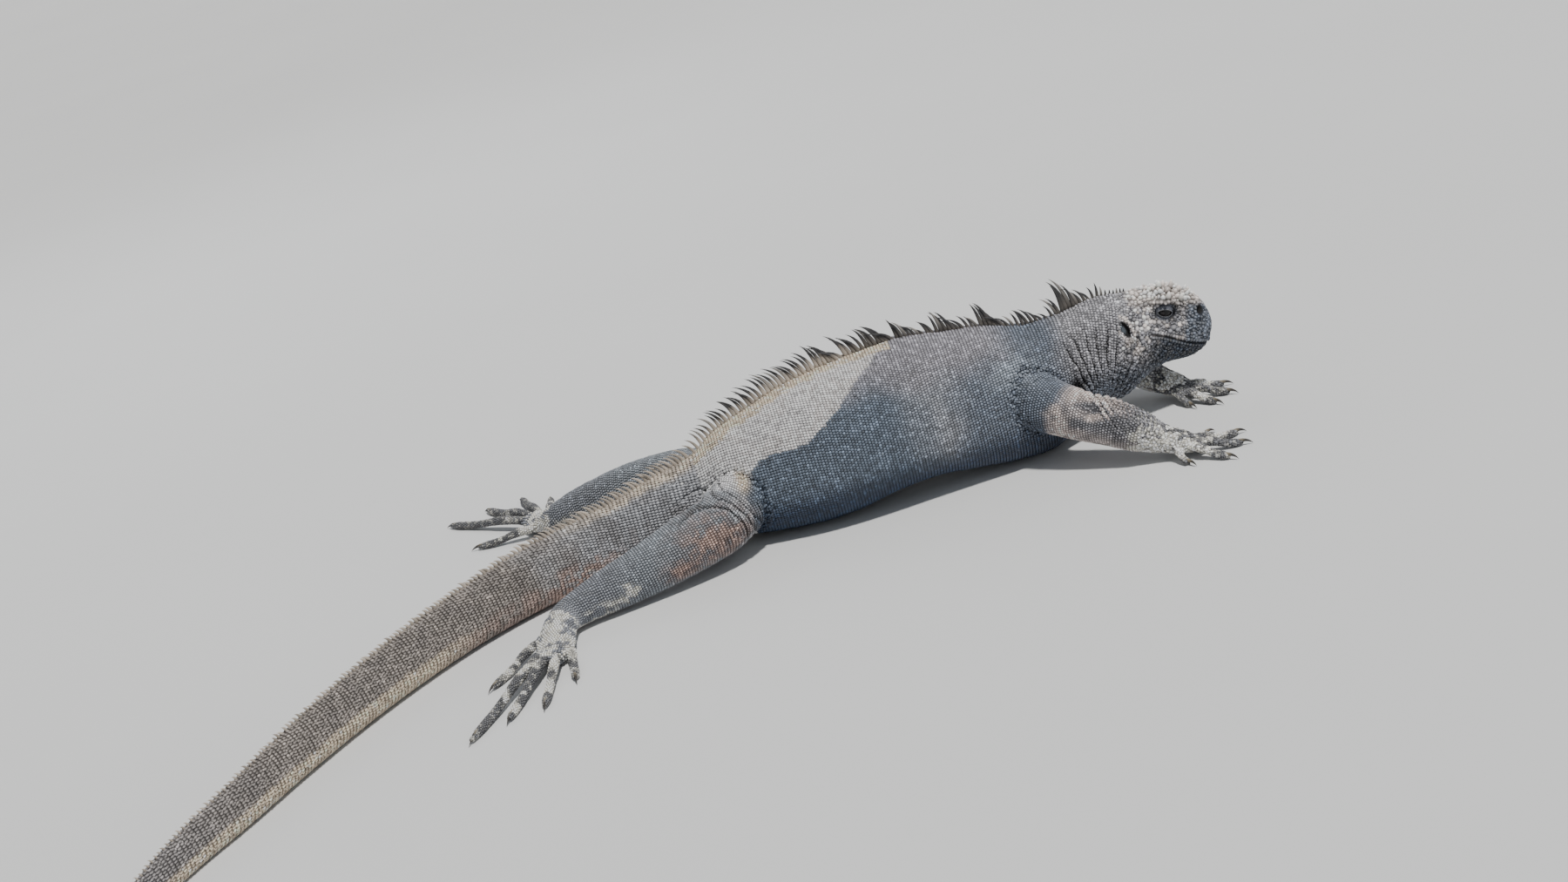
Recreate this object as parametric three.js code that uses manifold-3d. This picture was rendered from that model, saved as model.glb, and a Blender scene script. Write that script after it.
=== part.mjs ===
// A marine iguana at life size, lying flat with its head raised, as a still model.
// Millimetres, +Z up. The head points along +X and the right side faces -Y. The floor is z = 0.

import * as THREE from "three";
import { mergeVertices } from "three/addons/utils/BufferGeometryUtils.js";
import Module from "manifold-3d";

const wasm = await Module();
wasm.setup();

// Driving dimensions

const GAP = 0.3; // between parts that meet
const CENTRE_X = -62.59; // middle of the whole animal's outline, moved to the origin
const CENTRE_Y = -82.94;
const TAIL_LENGTH = 530; // from the vent, along its curve
const VENT_X = -55;

const EAR = new THREE.Vector3(209.5, 0, 54.7); // origin of the head's own frame
const HEAD_PITCH = 18; // degrees, nose down
const HEAD_ROLL = 8; // degrees, right cheek turned up

const HEAD_END_U = -6; // where the head meets the neck
const NECK_END_X = 168; // where the neck meets the torso
const TAIL_CUTS = [120, 250, 385]; // from the vent, where one length of tail meets the next

const EYE_U = 21.4; // eye, in the head's frame
const EYE_V = 12.4;
const EYE_RADIUS = 4.8;
const EYE_SUNK = 4.0; // from the cheek's surface in to the eye's centre
const EYE_OPENING = { long: 7.6, high: 3.4, deep: 6, ahead: 0.2, below: 0.4 };
const LID = { long: 6.4, deep: 5.5, high: 4.7 };
const LID_EDGE = 0.6; // how far the opening's middle lies inside the eye's surface

const NOSTRIL = { u: 43.0, v: 13.6, long: 2.0, high: 2.4, deep: 2.4 };
const EAR_CUP = { u: -1.6, v: 3.2, long: 3.0, high: 4.8, deep: 2.4 };

const MOUTH_CORNER_U = 12.5; // corner of the mouth, in the head's frame
const MOUTH_CORNER_V = -0.6;
const MOUTH_FRONT_U = 51.2;
const MOUTH_FRONT_V = -6.0;
const MOUTH_LEVEL_U = 44; // from here forwards the mouth's line runs level
const MOUTH_GROOVE = { deep: 1.5, high: 0.8, out: 2.2 };
const LIP_RADIUS = 1.15;
const LIP_LIFT = 1.25; // upper lip above the mouth's line
const LIP_SUNK = 0.62;

const SPINE_SUNK = 1.6; // how far a spine's root goes into the back
const SPINE_LEAN = [38, 54]; // degrees towards the tail
const NECK_CREST = [198.6, 173]; // x of the first and last spine of a part
const TORSO_CREST = [164.5, VENT_X + 6];
const SPINE_STEP = { neck: 2.7, torso: 3.8, tail: 5.2 };
const CLAW_LENGTH = 8;

const HEAD_SIDES = 24;
const BODY_SIDES = 24;
const NECK_STEP = 3.6; // between the rings of the neck, close enough for its folds
const TAIL_SIDES = 14;
const LIMB_SIDES = 12;
const TOE_SIDES = 6;
const RING_STEP = { head: 3.6, torso: 9, tail: 9.5, tailEnd: 8 };
const SNOUT_RINGS = [46.4, 48.4, 50, 51, 51.7, 52.2]; // u of the head's last rings, close set

// Head outline in its own frame: u, top, bottom, middle, half-width, roundness above and below
const HEAD_ROWS = [
  [52.2, 6.8, -0.6, 3.0, 2.8, 1.0, 1.0],
  [51.4, 9.4, -3.8, 2.6, 6.6, 0.95, 0.95],
  [50.0, 12.2, -7.4, 2.2, 9.0, 0.9, 0.9],
  [47.0, 17.0, -11.2, 2.0, 11.6, 0.88, 0.9],
  [42.4, 21.2, -14.4, 1.8, 13.4, 0.9, 0.92],
  [36, 24.2, -16.8, 1.5, 14.8, 0.9, 0.95],
  [29, 25.7, -18.4, 1.0, 16.0, 0.88, 1.0],
  [22, 26.0, -21.6, 0.0, 17.2, 0.86, 1.05],
  [15, 25.3, -27.0, -1.5, 18.4, 0.88, 1.15],
  [8, 24.2, -35.0, -4.0, 20.0, 0.9, 1.2],
  [1, 22.8, -40.5, -6.5, 20.2, 0.95, 1.2],
  [-7, 21.4, -42.0, -8.0, 19.4, 1.0, 1.15],
];

// Neck and trunk: x, middle z, pitch, roll, above, below, half-width, roundness above and below
const TRUNK_ROWS = [
  [190, 46.5, -12, 5, 32.6, 37.0, 20.0, 1.05, 1.1],
  [177.5, 42.5, -7, 3, 34.2, 36.5, 23.5, 1.1, 1.0],
  [166, 39.5, -3, 1, 35.8, 36.5, 28.5, 1.1, 0.9],
  [152, 36.5, 0, 0, 39.5, 38.0, 34.0, 1.08, 0.8],
  [132, 36, 0, 0, 46.2, 37.5, 38.5, 1.05, 0.78],
  [106, 37, 0, 0, 49.6, 35.0, 41.5, 1.05, 0.8],
  [81, 39, 0, 0, 51.6, 33.5, 44.5, 1.05, 0.8],
  [55, 38, 0, 0, 51.6, 34.0, 46.5, 1.05, 0.8],
  [30, 36, 0, 0, 51.4, 36.5, 46.0, 1.05, 0.78],
  [8, 34, 0, 0, 49.6, 35.5, 43.0, 1.08, 0.78],
  [-15, 31, 0, 0, 45.6, 31.0, 36.5, 1.1, 0.8],
  [-38, 28, 0, 0, 40.6, 25.5, 29.5, 1.12, 0.82],
];

// Tail: distance from the vent, height, half-width, roundness above and below
const TAIL_ROWS = [
  [0, 58.0, 23.5, 1.12, 0.82],
  [25, 52.0, 19.5, 1.12, 0.8],
  [60, 43.0, 16.0, 1.15, 0.8],
  [110, 38.5, 13.4, 1.18, 0.8],
  [160, 35.0, 11.6, 1.2, 0.8],
  [230, 31.6, 9.8, 1.2, 0.8],
  [300, 28.4, 8.3, 1.2, 0.8],
  [370, 24.6, 6.8, 1.2, 0.8],
  [430, 19.5, 5.2, 1.15, 0.8],
  [490, 12.0, 3.5, 1.1, 0.85],
  [530, 3.0, 1.2, 1.0, 0.9],
];
const TAIL_MIDDLE = 0.42; // the widest level, as a share of the tail's height

// Tail's course over the floor, seen from above
const TAIL_COURSE = [
  [-38, 0],
  [-55, 0],
  [-70, 0],
  [-88, 0.6],
  [-108, 0.4],
  [-130, -2.5],
  [-155, -11],
  [-182, -26],
  [-210, -47],
  [-240, -76],
  [-270, -111],
  [-300, -152],
  [-328, -195],
  [-354, -232],
  [-375, -269],
  [-386, -312],
  [-390, -350],
  [-384, -385],
];

// Swellings and hollows on both cheeks: u, v, spread along u, spread along v, height
const FACE_RELIEF = [
  [22, 18.2, 6.0, 2.2, 1.6],
  [21.4, 11.8, 5.5, 3.6, -1.2],
  [11, -3, 7.0, 7.0, 1.3],
  [32, 10, 4.5, 4.0, -1.1],
  [42.5, 14.0, 3.6, 3.4, 1.3],
  [1, -18, 6.0, 7.0, 1.2],
];

// Tubercles of the head's top: rows along u, places across, and their sizes
const TUBERCLES = {
  from: -1,
  to: 38.5,
  step: 5.6,
  turns: [-0.13, -0.065, 0, 0.065, 0.13],
  radius: 2.0,
  height: 0.9,
  tallest: 2.6, // more height above the eyes
  tallestU: 23,
  spread: 13,
  sunk: 1.2,
};

// Length of the crest's spines at a distance along the back
const CREST_LENGTHS = [
  [206, 5],
  [198, 6],
  [191, 11],
  [185, 18],
  [179, 20.5],
  [174, 12],
  [168, 8],
  [162, 10],
  [156, 13],
  [149, 9],
  [141, 17],
  [133, 16],
  [125, 9],
  [117, 15],
  [108, 14.5],
  [98, 9],
  [85, 12],
  [72, 17],
  [60, 15],
  [45, 18],
  [30, 17],
  [10, 17],
  [-10, 16],
  [-30, 14],
  [-50, 12],
  [-80, 9.5],
  [-120, 8],
  [-200, 6.5],
  [-400, 5],
  [-540, 3],
];

const COLOURS = {
  slate: { color: 0x4a4e55, roughness: 0.72, metalness: 0 },
  head: { color: 0x6b665f, roughness: 0.78, metalness: 0 },
  wet: { color: 0x3b4048, roughness: 0.6, metalness: 0 },
  tail: { color: 0x5b544c, roughness: 0.8, metalness: 0 },
  hand: { color: 0x77736a, roughness: 0.85, metalness: 0 },
  eye: { color: 0x1a130e, roughness: 0.12, metalness: 0 },
};

// Small helpers

const degrees = Math.PI / 180;
const point = (x, y, z) => new THREE.Vector3(x, y, z);

let seed = 20261;
function draw(low, high) {
  seed = (seed * 48271) % 2147483647;
  return low + ((high - low) * seed) / 2147483647;
}

// The value in a column of a table at a place, along a smooth curve through its rows.
function valueAt(rows, column, place) {
  const rising = rows[0][0] < rows[rows.length - 1][0];
  const ordered = rising ? rows : [...rows].reverse();
  const last = ordered.length - 1;
  const at = Math.min(Math.max(place, ordered[0][0]), ordered[last][0]);
  let i = 0;
  while (i < last - 1 && ordered[i + 1][0] < at) i += 1;
  const slope = (k) => {
    const before = ordered[Math.max(k - 1, 0)];
    const after = ordered[Math.min(k + 1, last)];
    return (after[column] - before[column]) / (after[0] - before[0]);
  };
  const span = ordered[i + 1][0] - ordered[i][0];
  const t = (at - ordered[i][0]) / span;
  const [a, b] = [ordered[i][column], ordered[i + 1][column]];
  return (
    a * (1 + 2 * t) * (1 - t) ** 2 +
    slope(i) * span * t * (1 - t) ** 2 +
    b * t * t * (3 - 2 * t) +
    slope(i + 1) * span * t * t * (t - 1)
  );
}

const signedPower = (value, power) => Math.sign(value) * Math.abs(value) ** power;

// Solids from rings of points

// Joins rings with the same number of points into one closed surface. The last may be a single point.
function loft(rings) {
  const points = [];
  const faces = [];
  const count = rings[0].length;
  const pointed = rings[rings.length - 1].length === 1;
  for (const ring of rings) {
    for (const p of ring) points.push(p.x, p.y, Math.max(p.z, 0));
  }
  for (let i = 0; i < rings.length - (pointed ? 2 : 1); i += 1) {
    for (let j = 0; j < count; j += 1) {
      const a = i * count + j;
      const b = i * count + ((j + 1) % count);
      faces.push(a, b, a + count, b, b + count, a + count);
    }
  }
  for (let j = 1; j < count - 1; j += 1) faces.push(0, j + 1, j);
  const last = (rings.length - (pointed ? 2 : 1)) * count;
  if (pointed) {
    for (let j = 0; j < count; j += 1) faces.push(last + j, last + ((j + 1) % count), last + count);
  } else {
    for (let j = 1; j < count - 1; j += 1) faces.push(last, last + j, last + j + 1);
  }
  return solid(points, faces);
}

function solid(points, faces) {
  const made = new wasm.Manifold(
    new wasm.Mesh({
      numProp: 3,
      vertProperties: new Float32Array(points),
      triVerts: new Uint32Array(faces),
    }),
  );
  if (made.volume() > 0) return made;
  const turned = [];
  for (let i = 0; i < faces.length; i += 3) turned.push(faces[i], faces[i + 2], faces[i + 1]);
  return solid(points, turned);
}

// A three.js geometry as a solid.
function fromGeometry(geometry) {
  const bare = geometry.clone();
  bare.deleteAttribute("normal");
  bare.deleteAttribute("uv");
  const merged = mergeVertices(bare, 1e-4);
  return solid([...merged.attributes.position.array], [...merged.index.array]);
}

function joined(pieces) {
  return pieces.reduce((whole, piece) => whole.add(piece));
}

// Only the largest closed surface of a solid.
function largest(made) {
  const bodies = made.decompose();
  return bodies.reduce((best, body) => (body.volume() > best.volume() ? body : best));
}

// The body's sections: snout, neck, trunk and tail along one line

const headForward = point(Math.cos(HEAD_PITCH * degrees), 0, -Math.sin(HEAD_PITCH * degrees));
const headFrame = sectionAxes(headForward, HEAD_ROLL);

// Right and up axes of a section that faces forward, rolled so that the right side turns up.
function sectionAxes(forward, roll) {
  const level = point(0, 0, 1);
  const right = forward.clone().cross(level).normalize();
  const up = right.clone().cross(forward).normalize();
  const turn = roll * degrees;
  return {
    forward,
    right: right.clone().multiplyScalar(Math.cos(turn)).addScaledVector(up, Math.sin(turn)),
    up: up.clone().multiplyScalar(Math.cos(turn)).addScaledVector(right, -Math.sin(turn)),
  };
}

// A point of the head from u forwards, v upwards and r to the right.
function headPoint(u, v, r) {
  return EAR.clone()
    .addScaledVector(headForward, u)
    .addScaledVector(headFrame.up, v)
    .addScaledVector(headFrame.right, r);
}

function headSection(u) {
  const [top, bottom, middle, side, topPower, bottomPower] = [1, 2, 3, 4, 5, 6].map((column) =>
    valueAt(HEAD_ROWS, column, u),
  );
  return {
    centre: headPoint(u, middle, 0),
    axes: headFrame,
    above: top - middle,
    below: middle - bottom,
    side,
    topPower,
    bottomPower,
    middle,
    u,
  };
}

// The trunk's table runs on from the head's last rows, so that the neck joins them smoothly.
const trunkStart = HEAD_ROWS.slice(-3).map((row) => {
  const section = headSection(row[0]);
  return [
    section.centre.x,
    section.centre.z,
    -HEAD_PITCH,
    HEAD_ROLL,
    section.above,
    section.below,
    section.side,
    row[5],
    row[6],
    section.centre.y,
  ];
});
const tailStart = TAIL_ROWS.slice(0, 2).map(([distance, height, side, top, bottom]) => [
  VENT_X - distance,
  height * TAIL_MIDDLE,
  0,
  0,
  height * (1 - TAIL_MIDDLE),
  height * TAIL_MIDDLE,
  side,
  top,
  bottom,
  0,
]);
const trunkTable = [...trunkStart, ...TRUNK_ROWS.map((row) => [...row, 0]), ...tailStart];

function trunkSection(x) {
  const [z, pitch, roll, above, below, side, topPower, bottomPower, y] = [
    1, 2, 3, 4, 5, 6, 7, 8, 9,
  ].map((column) => valueAt(trunkTable, column, x));
  const forward = point(Math.cos(pitch * degrees), 0, Math.sin(pitch * degrees));
  const axes = sectionAxes(forward, roll);
  return { centre: point(x, y, z), axes, above, below, side, topPower, bottomPower };
}

const tailCurve = new THREE.CatmullRomCurve3(
  TAIL_COURSE.map(([x, y]) => point(x, y, 0)),
  false,
  "centripetal",
);
tailCurve.arcLengthDivisions = 3000;
const courseLength = tailCurve.getLength();
const ventAlong = TAIL_COURSE[0][0] - VENT_X;

function tailSection(distance) {
  const share = Math.min((distance + ventAlong) / courseLength, 1);
  const middle = tailCurve.getPointAt(share);
  const forward = tailCurve.getTangentAt(share).negate();
  const [height, side, topPower, bottomPower] = [1, 2, 3, 4].map((column) =>
    valueAt(TAIL_ROWS, column, distance),
  );
  return {
    centre: point(middle.x, middle.y, height * TAIL_MIDDLE),
    axes: sectionAxes(forward, 0),
    above: height * (1 - TAIL_MIDDLE),
    below: height * TAIL_MIDDLE,
    side,
    topPower,
    bottomPower,
    distance,
  };
}

// How far the relief of the cheeks lifts the skin at u and v.
function faceRelief(u, v) {
  return FACE_RELIEF.reduce(
    (sum, [cu, cv, su, sv, height]) =>
      sum + height * Math.exp(-(((u - cu) / su) ** 2) - ((v - cv) / sv) ** 2),
    0,
  );
}

// A point on a section's skin: turn 0 is the back, a quarter is the right side, a half is the belly.
function skinPoint(section, turn, swell = 0) {
  const angle = turn * 2 * Math.PI;
  const [across, along] = [Math.sin(angle), Math.cos(angle)];
  const reach = along > 0 ? section.above : section.below;
  const power = along > 0 ? section.topPower : section.bottomPower;
  const height = (reach + swell) * signedPower(along, power);
  let width = (section.side + swell) * across;
  if (section.u !== undefined) {
    const share = Math.min(Math.abs(across) * 1.6, 1);
    width += Math.sign(across) * share * faceRelief(section.u, section.middle + height);
  }
  return section.centre
    .clone()
    .addScaledVector(section.axes.up, height)
    .addScaledVector(section.axes.right, width);
}

function ringOf(section, sides, swell = 0) {
  return Array.from({ length: sides }, (_, j) => skinPoint(section, (j + 0.5) / sides, swell));
}

// Places from one end to the other, near a chosen step apart.
function places(from, to, step) {
  const count = Math.max(2, Math.round(Math.abs(to - from) / step));
  return Array.from({ length: count + 1 }, (_, i) => from + ((to - from) * i) / count);
}

// Distance from the head's middle line to the skin at u and v.
function cheekWidth(u, v) {
  const section = headSection(u);
  const offset = v - section.middle;
  const reach = offset > 0 ? section.above : section.below;
  const power = offset > 0 ? section.topPower : section.bottomPower;
  const share = Math.min(Math.abs(offset) / reach, 1) ** (1 / power);
  const across = Math.sqrt(1 - share * share);
  return section.side * across + Math.min(across * 1.6, 1) * faceRelief(u, v);
}

// Spines, tubercles and claws

// A curved spike: its root, bend and tip, its size at the root, and how many sides it has.
function spike(root, bend, tip, wide, thick, acrossAxis, sides = 4) {
  const spine = new THREE.QuadraticBezierCurve3(root, bend, tip);
  const rings = [0, 0.55].map((t) => {
    const middle = spine.getPoint(t);
    const along = spine.getTangent(t);
    const side = acrossAxis.clone().addScaledVector(along, -acrossAxis.dot(along)).normalize();
    const front = side.clone().cross(along).normalize();
    const taper = t === 0 ? 1 : 0.64;
    return Array.from({ length: sides }, (_, k) => {
      const angle = (k / sides) * 2 * Math.PI;
      return middle
        .clone()
        .addScaledVector(front, (Math.cos(angle) * wide * taper) / 2)
        .addScaledVector(side, (Math.sin(angle) * thick * taper) / 2);
    });
  });
  return loft([...rings, [tip]]);
}

// The crest's spine at a section of the back, leaning towards the tail.
function crestSpine(section, length, wide, thick, sides) {
  const { up, right, forward } = section.axes;
  const lean = draw(...SPINE_LEAN) * degrees;
  const splay = draw(-0.13, 0.13);
  const root = skinPoint(section, 0).addScaledVector(up, -SPINE_SUNK);
  const rise = length * Math.cos(lean);
  const back = length * Math.sin(lean);
  const bend = root
    .clone()
    .addScaledVector(up, SPINE_SUNK + rise * 0.62)
    .addScaledVector(forward, -back * 0.22)
    .addScaledVector(right, splay * length * 0.4);
  const tip = root
    .clone()
    .addScaledVector(up, SPINE_SUNK + rise)
    .addScaledVector(forward, -back)
    .addScaledVector(right, splay * length);
  return spike(root, bend, tip, wide, thick, right, sides);
}

// All the spines of one part, from one place to another along its back.
function crest(sectionAt, from, to, step, lengthScale, sides = 4) {
  return places(from, to, step).map((place) => {
    const section = sectionAt(place + draw(-0.12, 0.12) * step);
    const length = lengthScale(section) * draw(0.86, 1.12);
    const wide = Math.min(step * 0.92, 1.5 + length * 0.17);
    return crestSpine(section, length, wide, Math.max(1.2, wide * 0.62), sides);
  });
}

const crestAlong = (section) => valueAt(CREST_LENGTHS, 1, section.centre.x);
const crestOnTail = (section) => valueAt(CREST_LENGTHS, 1, VENT_X - section.distance);

// A blunt cone of five sides on the top of the head.
function tubercle(u, turn, radius, height) {
  const section = headSection(u);
  const foot = skinPoint(section, turn);
  const outward = foot.clone().sub(section.centre).normalize().addScaledVector(headForward, -0.15);
  outward.normalize();
  const side = outward.clone().cross(headForward).normalize();
  const front = side.clone().cross(outward).normalize();
  const sides = 5;
  const rings = [
    [-TUBERCLES.sunk, 1.05],
    [height, 0.3],
  ].map(([rise, size]) =>
    Array.from({ length: sides }, (_, k) => {
      const angle = (k / sides) * 2 * Math.PI + u;
      return foot
        .clone()
        .addScaledVector(outward, rise)
        .addScaledVector(front, Math.cos(angle) * radius * size)
        .addScaledVector(side, Math.sin(angle) * radius * size);
    }),
  );
  return loft(rings);
}

// Rows of tubercles over the head, tallest above and behind the eyes.
function tubercles() {
  const made = [];
  for (const u of places(TUBERCLES.from, TUBERCLES.to, TUBERCLES.step)) {
    for (const turn of TUBERCLES.turns) {
      const place = u + draw(-1.1, 1.1);
      const turned = turn * (u > 30 ? 0.85 : 1) + draw(-0.012, 0.012);
      const near = Math.exp(-(((place - TUBERCLES.tallestU) / TUBERCLES.spread) ** 2));
      const full = TUBERCLES.height + TUBERCLES.tallest * near;
      const height = full * (1 - 1.6 * Math.abs(turned)) * draw(0.75, 1.15);
      made.push(tubercle(place, turned, TUBERCLES.radius + 0.5 * near, height));
    }
  }
  return made;
}

// An ellipsoid with its axes along the head's frame.
function headEllipsoid(u, v, r, long, high, deep, columns = 8, rows = 6) {
  const geometry = new THREE.SphereGeometry(1, columns, rows);
  const basis = new THREE.Matrix4().makeBasis(
    headForward.clone().multiplyScalar(long),
    headFrame.up.clone().multiplyScalar(high),
    headFrame.right.clone().multiplyScalar(deep),
  );
  basis.setPosition(headPoint(u, v, r));
  return fromGeometry(geometry.applyMatrix4(basis));
}

// Mouth: its line runs from one corner round the snout to the other

function mouthLevel(u) {
  const share = THREE.MathUtils.smoothstep(u, MOUTH_CORNER_U, MOUTH_LEVEL_U);
  return MOUTH_CORNER_V + (MOUTH_FRONT_V - MOUTH_CORNER_V) * share;
}

// The mouth's line as u, v and r, lifted above it and set in or out from the cheek.
function mouthCourse(lift, inset) {
  const stops = [0, 0.25, 0.5, 0.72, 0.86, 0.94, 0.985];
  const right = stops.map((t) => {
    const u = MOUTH_CORNER_U + (MOUTH_FRONT_U - MOUTH_CORNER_U) * t;
    const v = mouthLevel(u) + lift;
    return [u, v, Math.max(cheekWidth(u, v) + inset, 1.2)];
  });
  const tip = [MOUTH_FRONT_U + inset * 0.6, mouthLevel(MOUTH_FRONT_U) + lift, 0];
  const left = right.map(([u, v, r]) => [u, v, -r]).reverse();
  return [...right, tip, ...left];
}

function mouthGroove() {
  const inner = mouthCourse(0, -MOUTH_GROOVE.deep);
  const outer = mouthCourse(0, MOUTH_GROOVE.out);
  const half = MOUTH_GROOVE.high / 2;
  return loft(
    inner.map(([u, v, r], i) => [
      headPoint(u, v - half * 0.4, r),
      headPoint(outer[i][0], v - half, outer[i][2]),
      headPoint(outer[i][0], v + half, outer[i][2]),
      headPoint(u, v + half * 0.4, r),
    ]),
  );
}

// The upper lip as a low roll along the mouth, thin at both corners.
function lip() {
  const course = mouthCourse(LIP_LIFT, -LIP_SUNK).map(([u, v, r]) => headPoint(u, v, r));
  const rings = course.map((middle, i) => {
    const before = course[Math.max(i - 1, 0)];
    const after = course[Math.min(i + 1, course.length - 1)];
    const along = after.clone().sub(before).normalize();
    const out = along.clone().cross(headFrame.up).normalize();
    const size = LIP_RADIUS * (i === 0 || i === course.length - 1 ? 0.5 : 1);
    const sides = 5;
    return Array.from({ length: sides }, (_, k) => {
      const angle = (k / sides) * 2 * Math.PI;
      return middle
        .clone()
        .addScaledVector(out, Math.cos(angle) * size)
        .addScaledVector(headFrame.up, Math.sin(angle) * size);
    });
  });
  return loft(rings);
}

// Head with its tubercles, brows, lids, nostrils, ear cups and mouth

function eyeCentre(side) {
  return [EYE_U, EYE_V, side * (cheekWidth(EYE_U, EYE_V) - EYE_SUNK)];
}

function eyeBall(side, radius) {
  const [u, v, r] = eyeCentre(side);
  return headEllipsoid(u, v, r, radius, radius, radius, 12, 8);
}

function makeHead() {
  const cheeks = places(HEAD_END_U + GAP / 2, 44, RING_STEP.head);
  const rings = [...cheeks, ...SNOUT_RINGS].map((u) => ringOf(headSection(u), HEAD_SIDES));
  let head = joined([loft(rings), lip(), ...tubercles()]);
  for (const side of [-1, 1]) {
    const [u, v, r] = eyeCentre(side);
    head = head
      .add(headEllipsoid(u, v, r, LID.long, LID.high, LID.deep, 12, 8))
      .subtract(eyeBall(side, EYE_RADIUS + GAP));
    const open = r + side * (EYE_RADIUS - LID_EDGE);
    const opening = [EYE_OPENING.long / 2, EYE_OPENING.high / 2, EYE_OPENING.deep / 2];
    const [ahead, below] = [EYE_OPENING.ahead, EYE_OPENING.below];
    head = head.subtract(headEllipsoid(u + ahead, v - below, open, ...opening));
    const hole = cheekWidth(NOSTRIL.u, NOSTRIL.v);
    head = head.subtract(
      headEllipsoid(NOSTRIL.u, NOSTRIL.v, side * hole, NOSTRIL.long, NOSTRIL.high, NOSTRIL.deep),
    );
    const cup = cheekWidth(EAR_CUP.u, EAR_CUP.v);
    head = head.subtract(
      headEllipsoid(EAR_CUP.u, EAR_CUP.v, side * cup, EAR_CUP.long, EAR_CUP.high, EAR_CUP.deep),
    );
  }
  return largest(head.subtract(mouthGroove()));
}

// Neck, torso and tail

function bodyPart(sectionAt, from, to, step, sides, spines) {
  const rings = places(from, to, step).map((place) => ringOf(sectionAt(place), sides));
  return largest(joined([loft(rings), ...spines]));
}

function makeNeck() {
  const front = headSection(HEAD_END_U - GAP / 2);
  const rings = places(front.centre.x - NECK_STEP, NECK_END_X + GAP / 2, NECK_STEP);
  const sections = [front, ...rings.map(trunkSection)];
  const spines = crest(trunkSection, ...NECK_CREST, SPINE_STEP.neck, crestAlong);
  return largest(joined([loft(sections.map((section) => ringOf(section, BODY_SIDES))), ...spines]));
}

function makeTorso() {
  const spines = crest(trunkSection, ...TORSO_CREST, SPINE_STEP.torso, crestAlong);
  const [front, end] = [NECK_END_X - GAP / 2, VENT_X + GAP / 2];
  return bodyPart(trunkSection, front, end, RING_STEP.torso, BODY_SIDES, spines);
}

function makeTail(from, to, last) {
  const [first, end] = [from + 4, to - (last ? 8 : 2)];
  const spines = crest(tailSection, first, end, SPINE_STEP.tail, crestOnTail, 3);
  const step = last ? RING_STEP.tailEnd : RING_STEP.tail;
  return bodyPart(tailSection, from, to, step, TAIL_SIDES, spines);
}

// Limbs

// A limb's course as smooth stations: middle, half-width and half-height.
function limbStations(rows, steps) {
  const middles = new THREE.CatmullRomCurve3(
    rows.map(([x, y, z]) => point(x, y, z)),
    false,
    "centripetal",
  );
  const sizes = rows.map((row, i) => [i, row[3], row[4]]);
  return places(0, rows.length - 1, 1 / steps).map((place) => {
    const share = place / (rows.length - 1);
    return {
      place,
      middle: middles.getPoint(share),
      along: middles.getTangent(share),
      wide: valueAt(sizes, 1, place),
      high: valueAt(sizes, 2, place),
    };
  });
}

function limbRing(station, sides, shift = 0) {
  const side = station.along.clone().cross(point(0, 0, 1)).normalize();
  const up = side.clone().cross(station.along).normalize();
  return Array.from({ length: sides }, (_, k) => {
    const angle = ((k + 0.5) / sides) * 2 * Math.PI;
    return station.middle
      .clone()
      .addScaledVector(station.along, shift)
      .addScaledVector(side, Math.cos(angle) * station.wide)
      .addScaledVector(up, Math.sin(angle) * station.high);
  });
}

// One length of a limb between two of its rows, cut square at each end with half the gap taken off.
function limbPart(stations, from, to, sides, rounded) {
  const used = stations.filter(({ place }) => place > from - 1e-6 && place < to + 1e-6);
  const rings = used.map((station, i) => {
    if (i === 0 && from > 0) return limbRing(station, sides, GAP / 2);
    if (i === used.length - 1 && !rounded) return limbRing(station, sides, -GAP / 2);
    return limbRing(station, sides);
  });
  return loft(rings);
}

// A toe or finger from its knuckle to its claw: knuckle, tip on the floor, and half-thickness.
function digit(knuckle, tip, thick) {
  const flat = tip.clone().sub(knuckle).setZ(0);
  const reach = flat.length();
  const ahead = flat.clone().normalize();
  const toeLength = reach - CLAW_LENGTH * 0.8;
  const at = (share, z) =>
    point(knuckle.x + ahead.x * toeLength * share, knuckle.y + ahead.y * toeLength * share, z);
  const rows = [
    [0, knuckle.z, 1.08],
    [0.34, knuckle.z * 0.95, 1.12],
    [0.66, thick * 1.25, 0.96],
    [0.9, thick * 0.92, 0.98],
    [1.03, thick * 0.8, 0.6],
  ].map(([share, z, size]) => {
    const p = at(share, z);
    return [p.x, p.y, p.z, thick * size, thick * size * 0.95];
  });
  const toe = limbPart(limbStations(rows, 1), 0, rows.length - 1, TOE_SIDES, true);
  const root = at(0.92, thick * 1.15);
  const bend = root.clone().addScaledVector(ahead, CLAW_LENGTH * 0.72).setZ(thick * 1.5);
  const end = tip.clone().setZ(0.25);
  const across = point(-ahead.y, ahead.x, 0);
  return [toe, spike(root, bend, end, thick * 1.25, thick * 1.0, across)];
}

// Limb tables: x, y, z, half-width and half-height. Digits: knuckle, tip, half-thickness.

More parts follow.
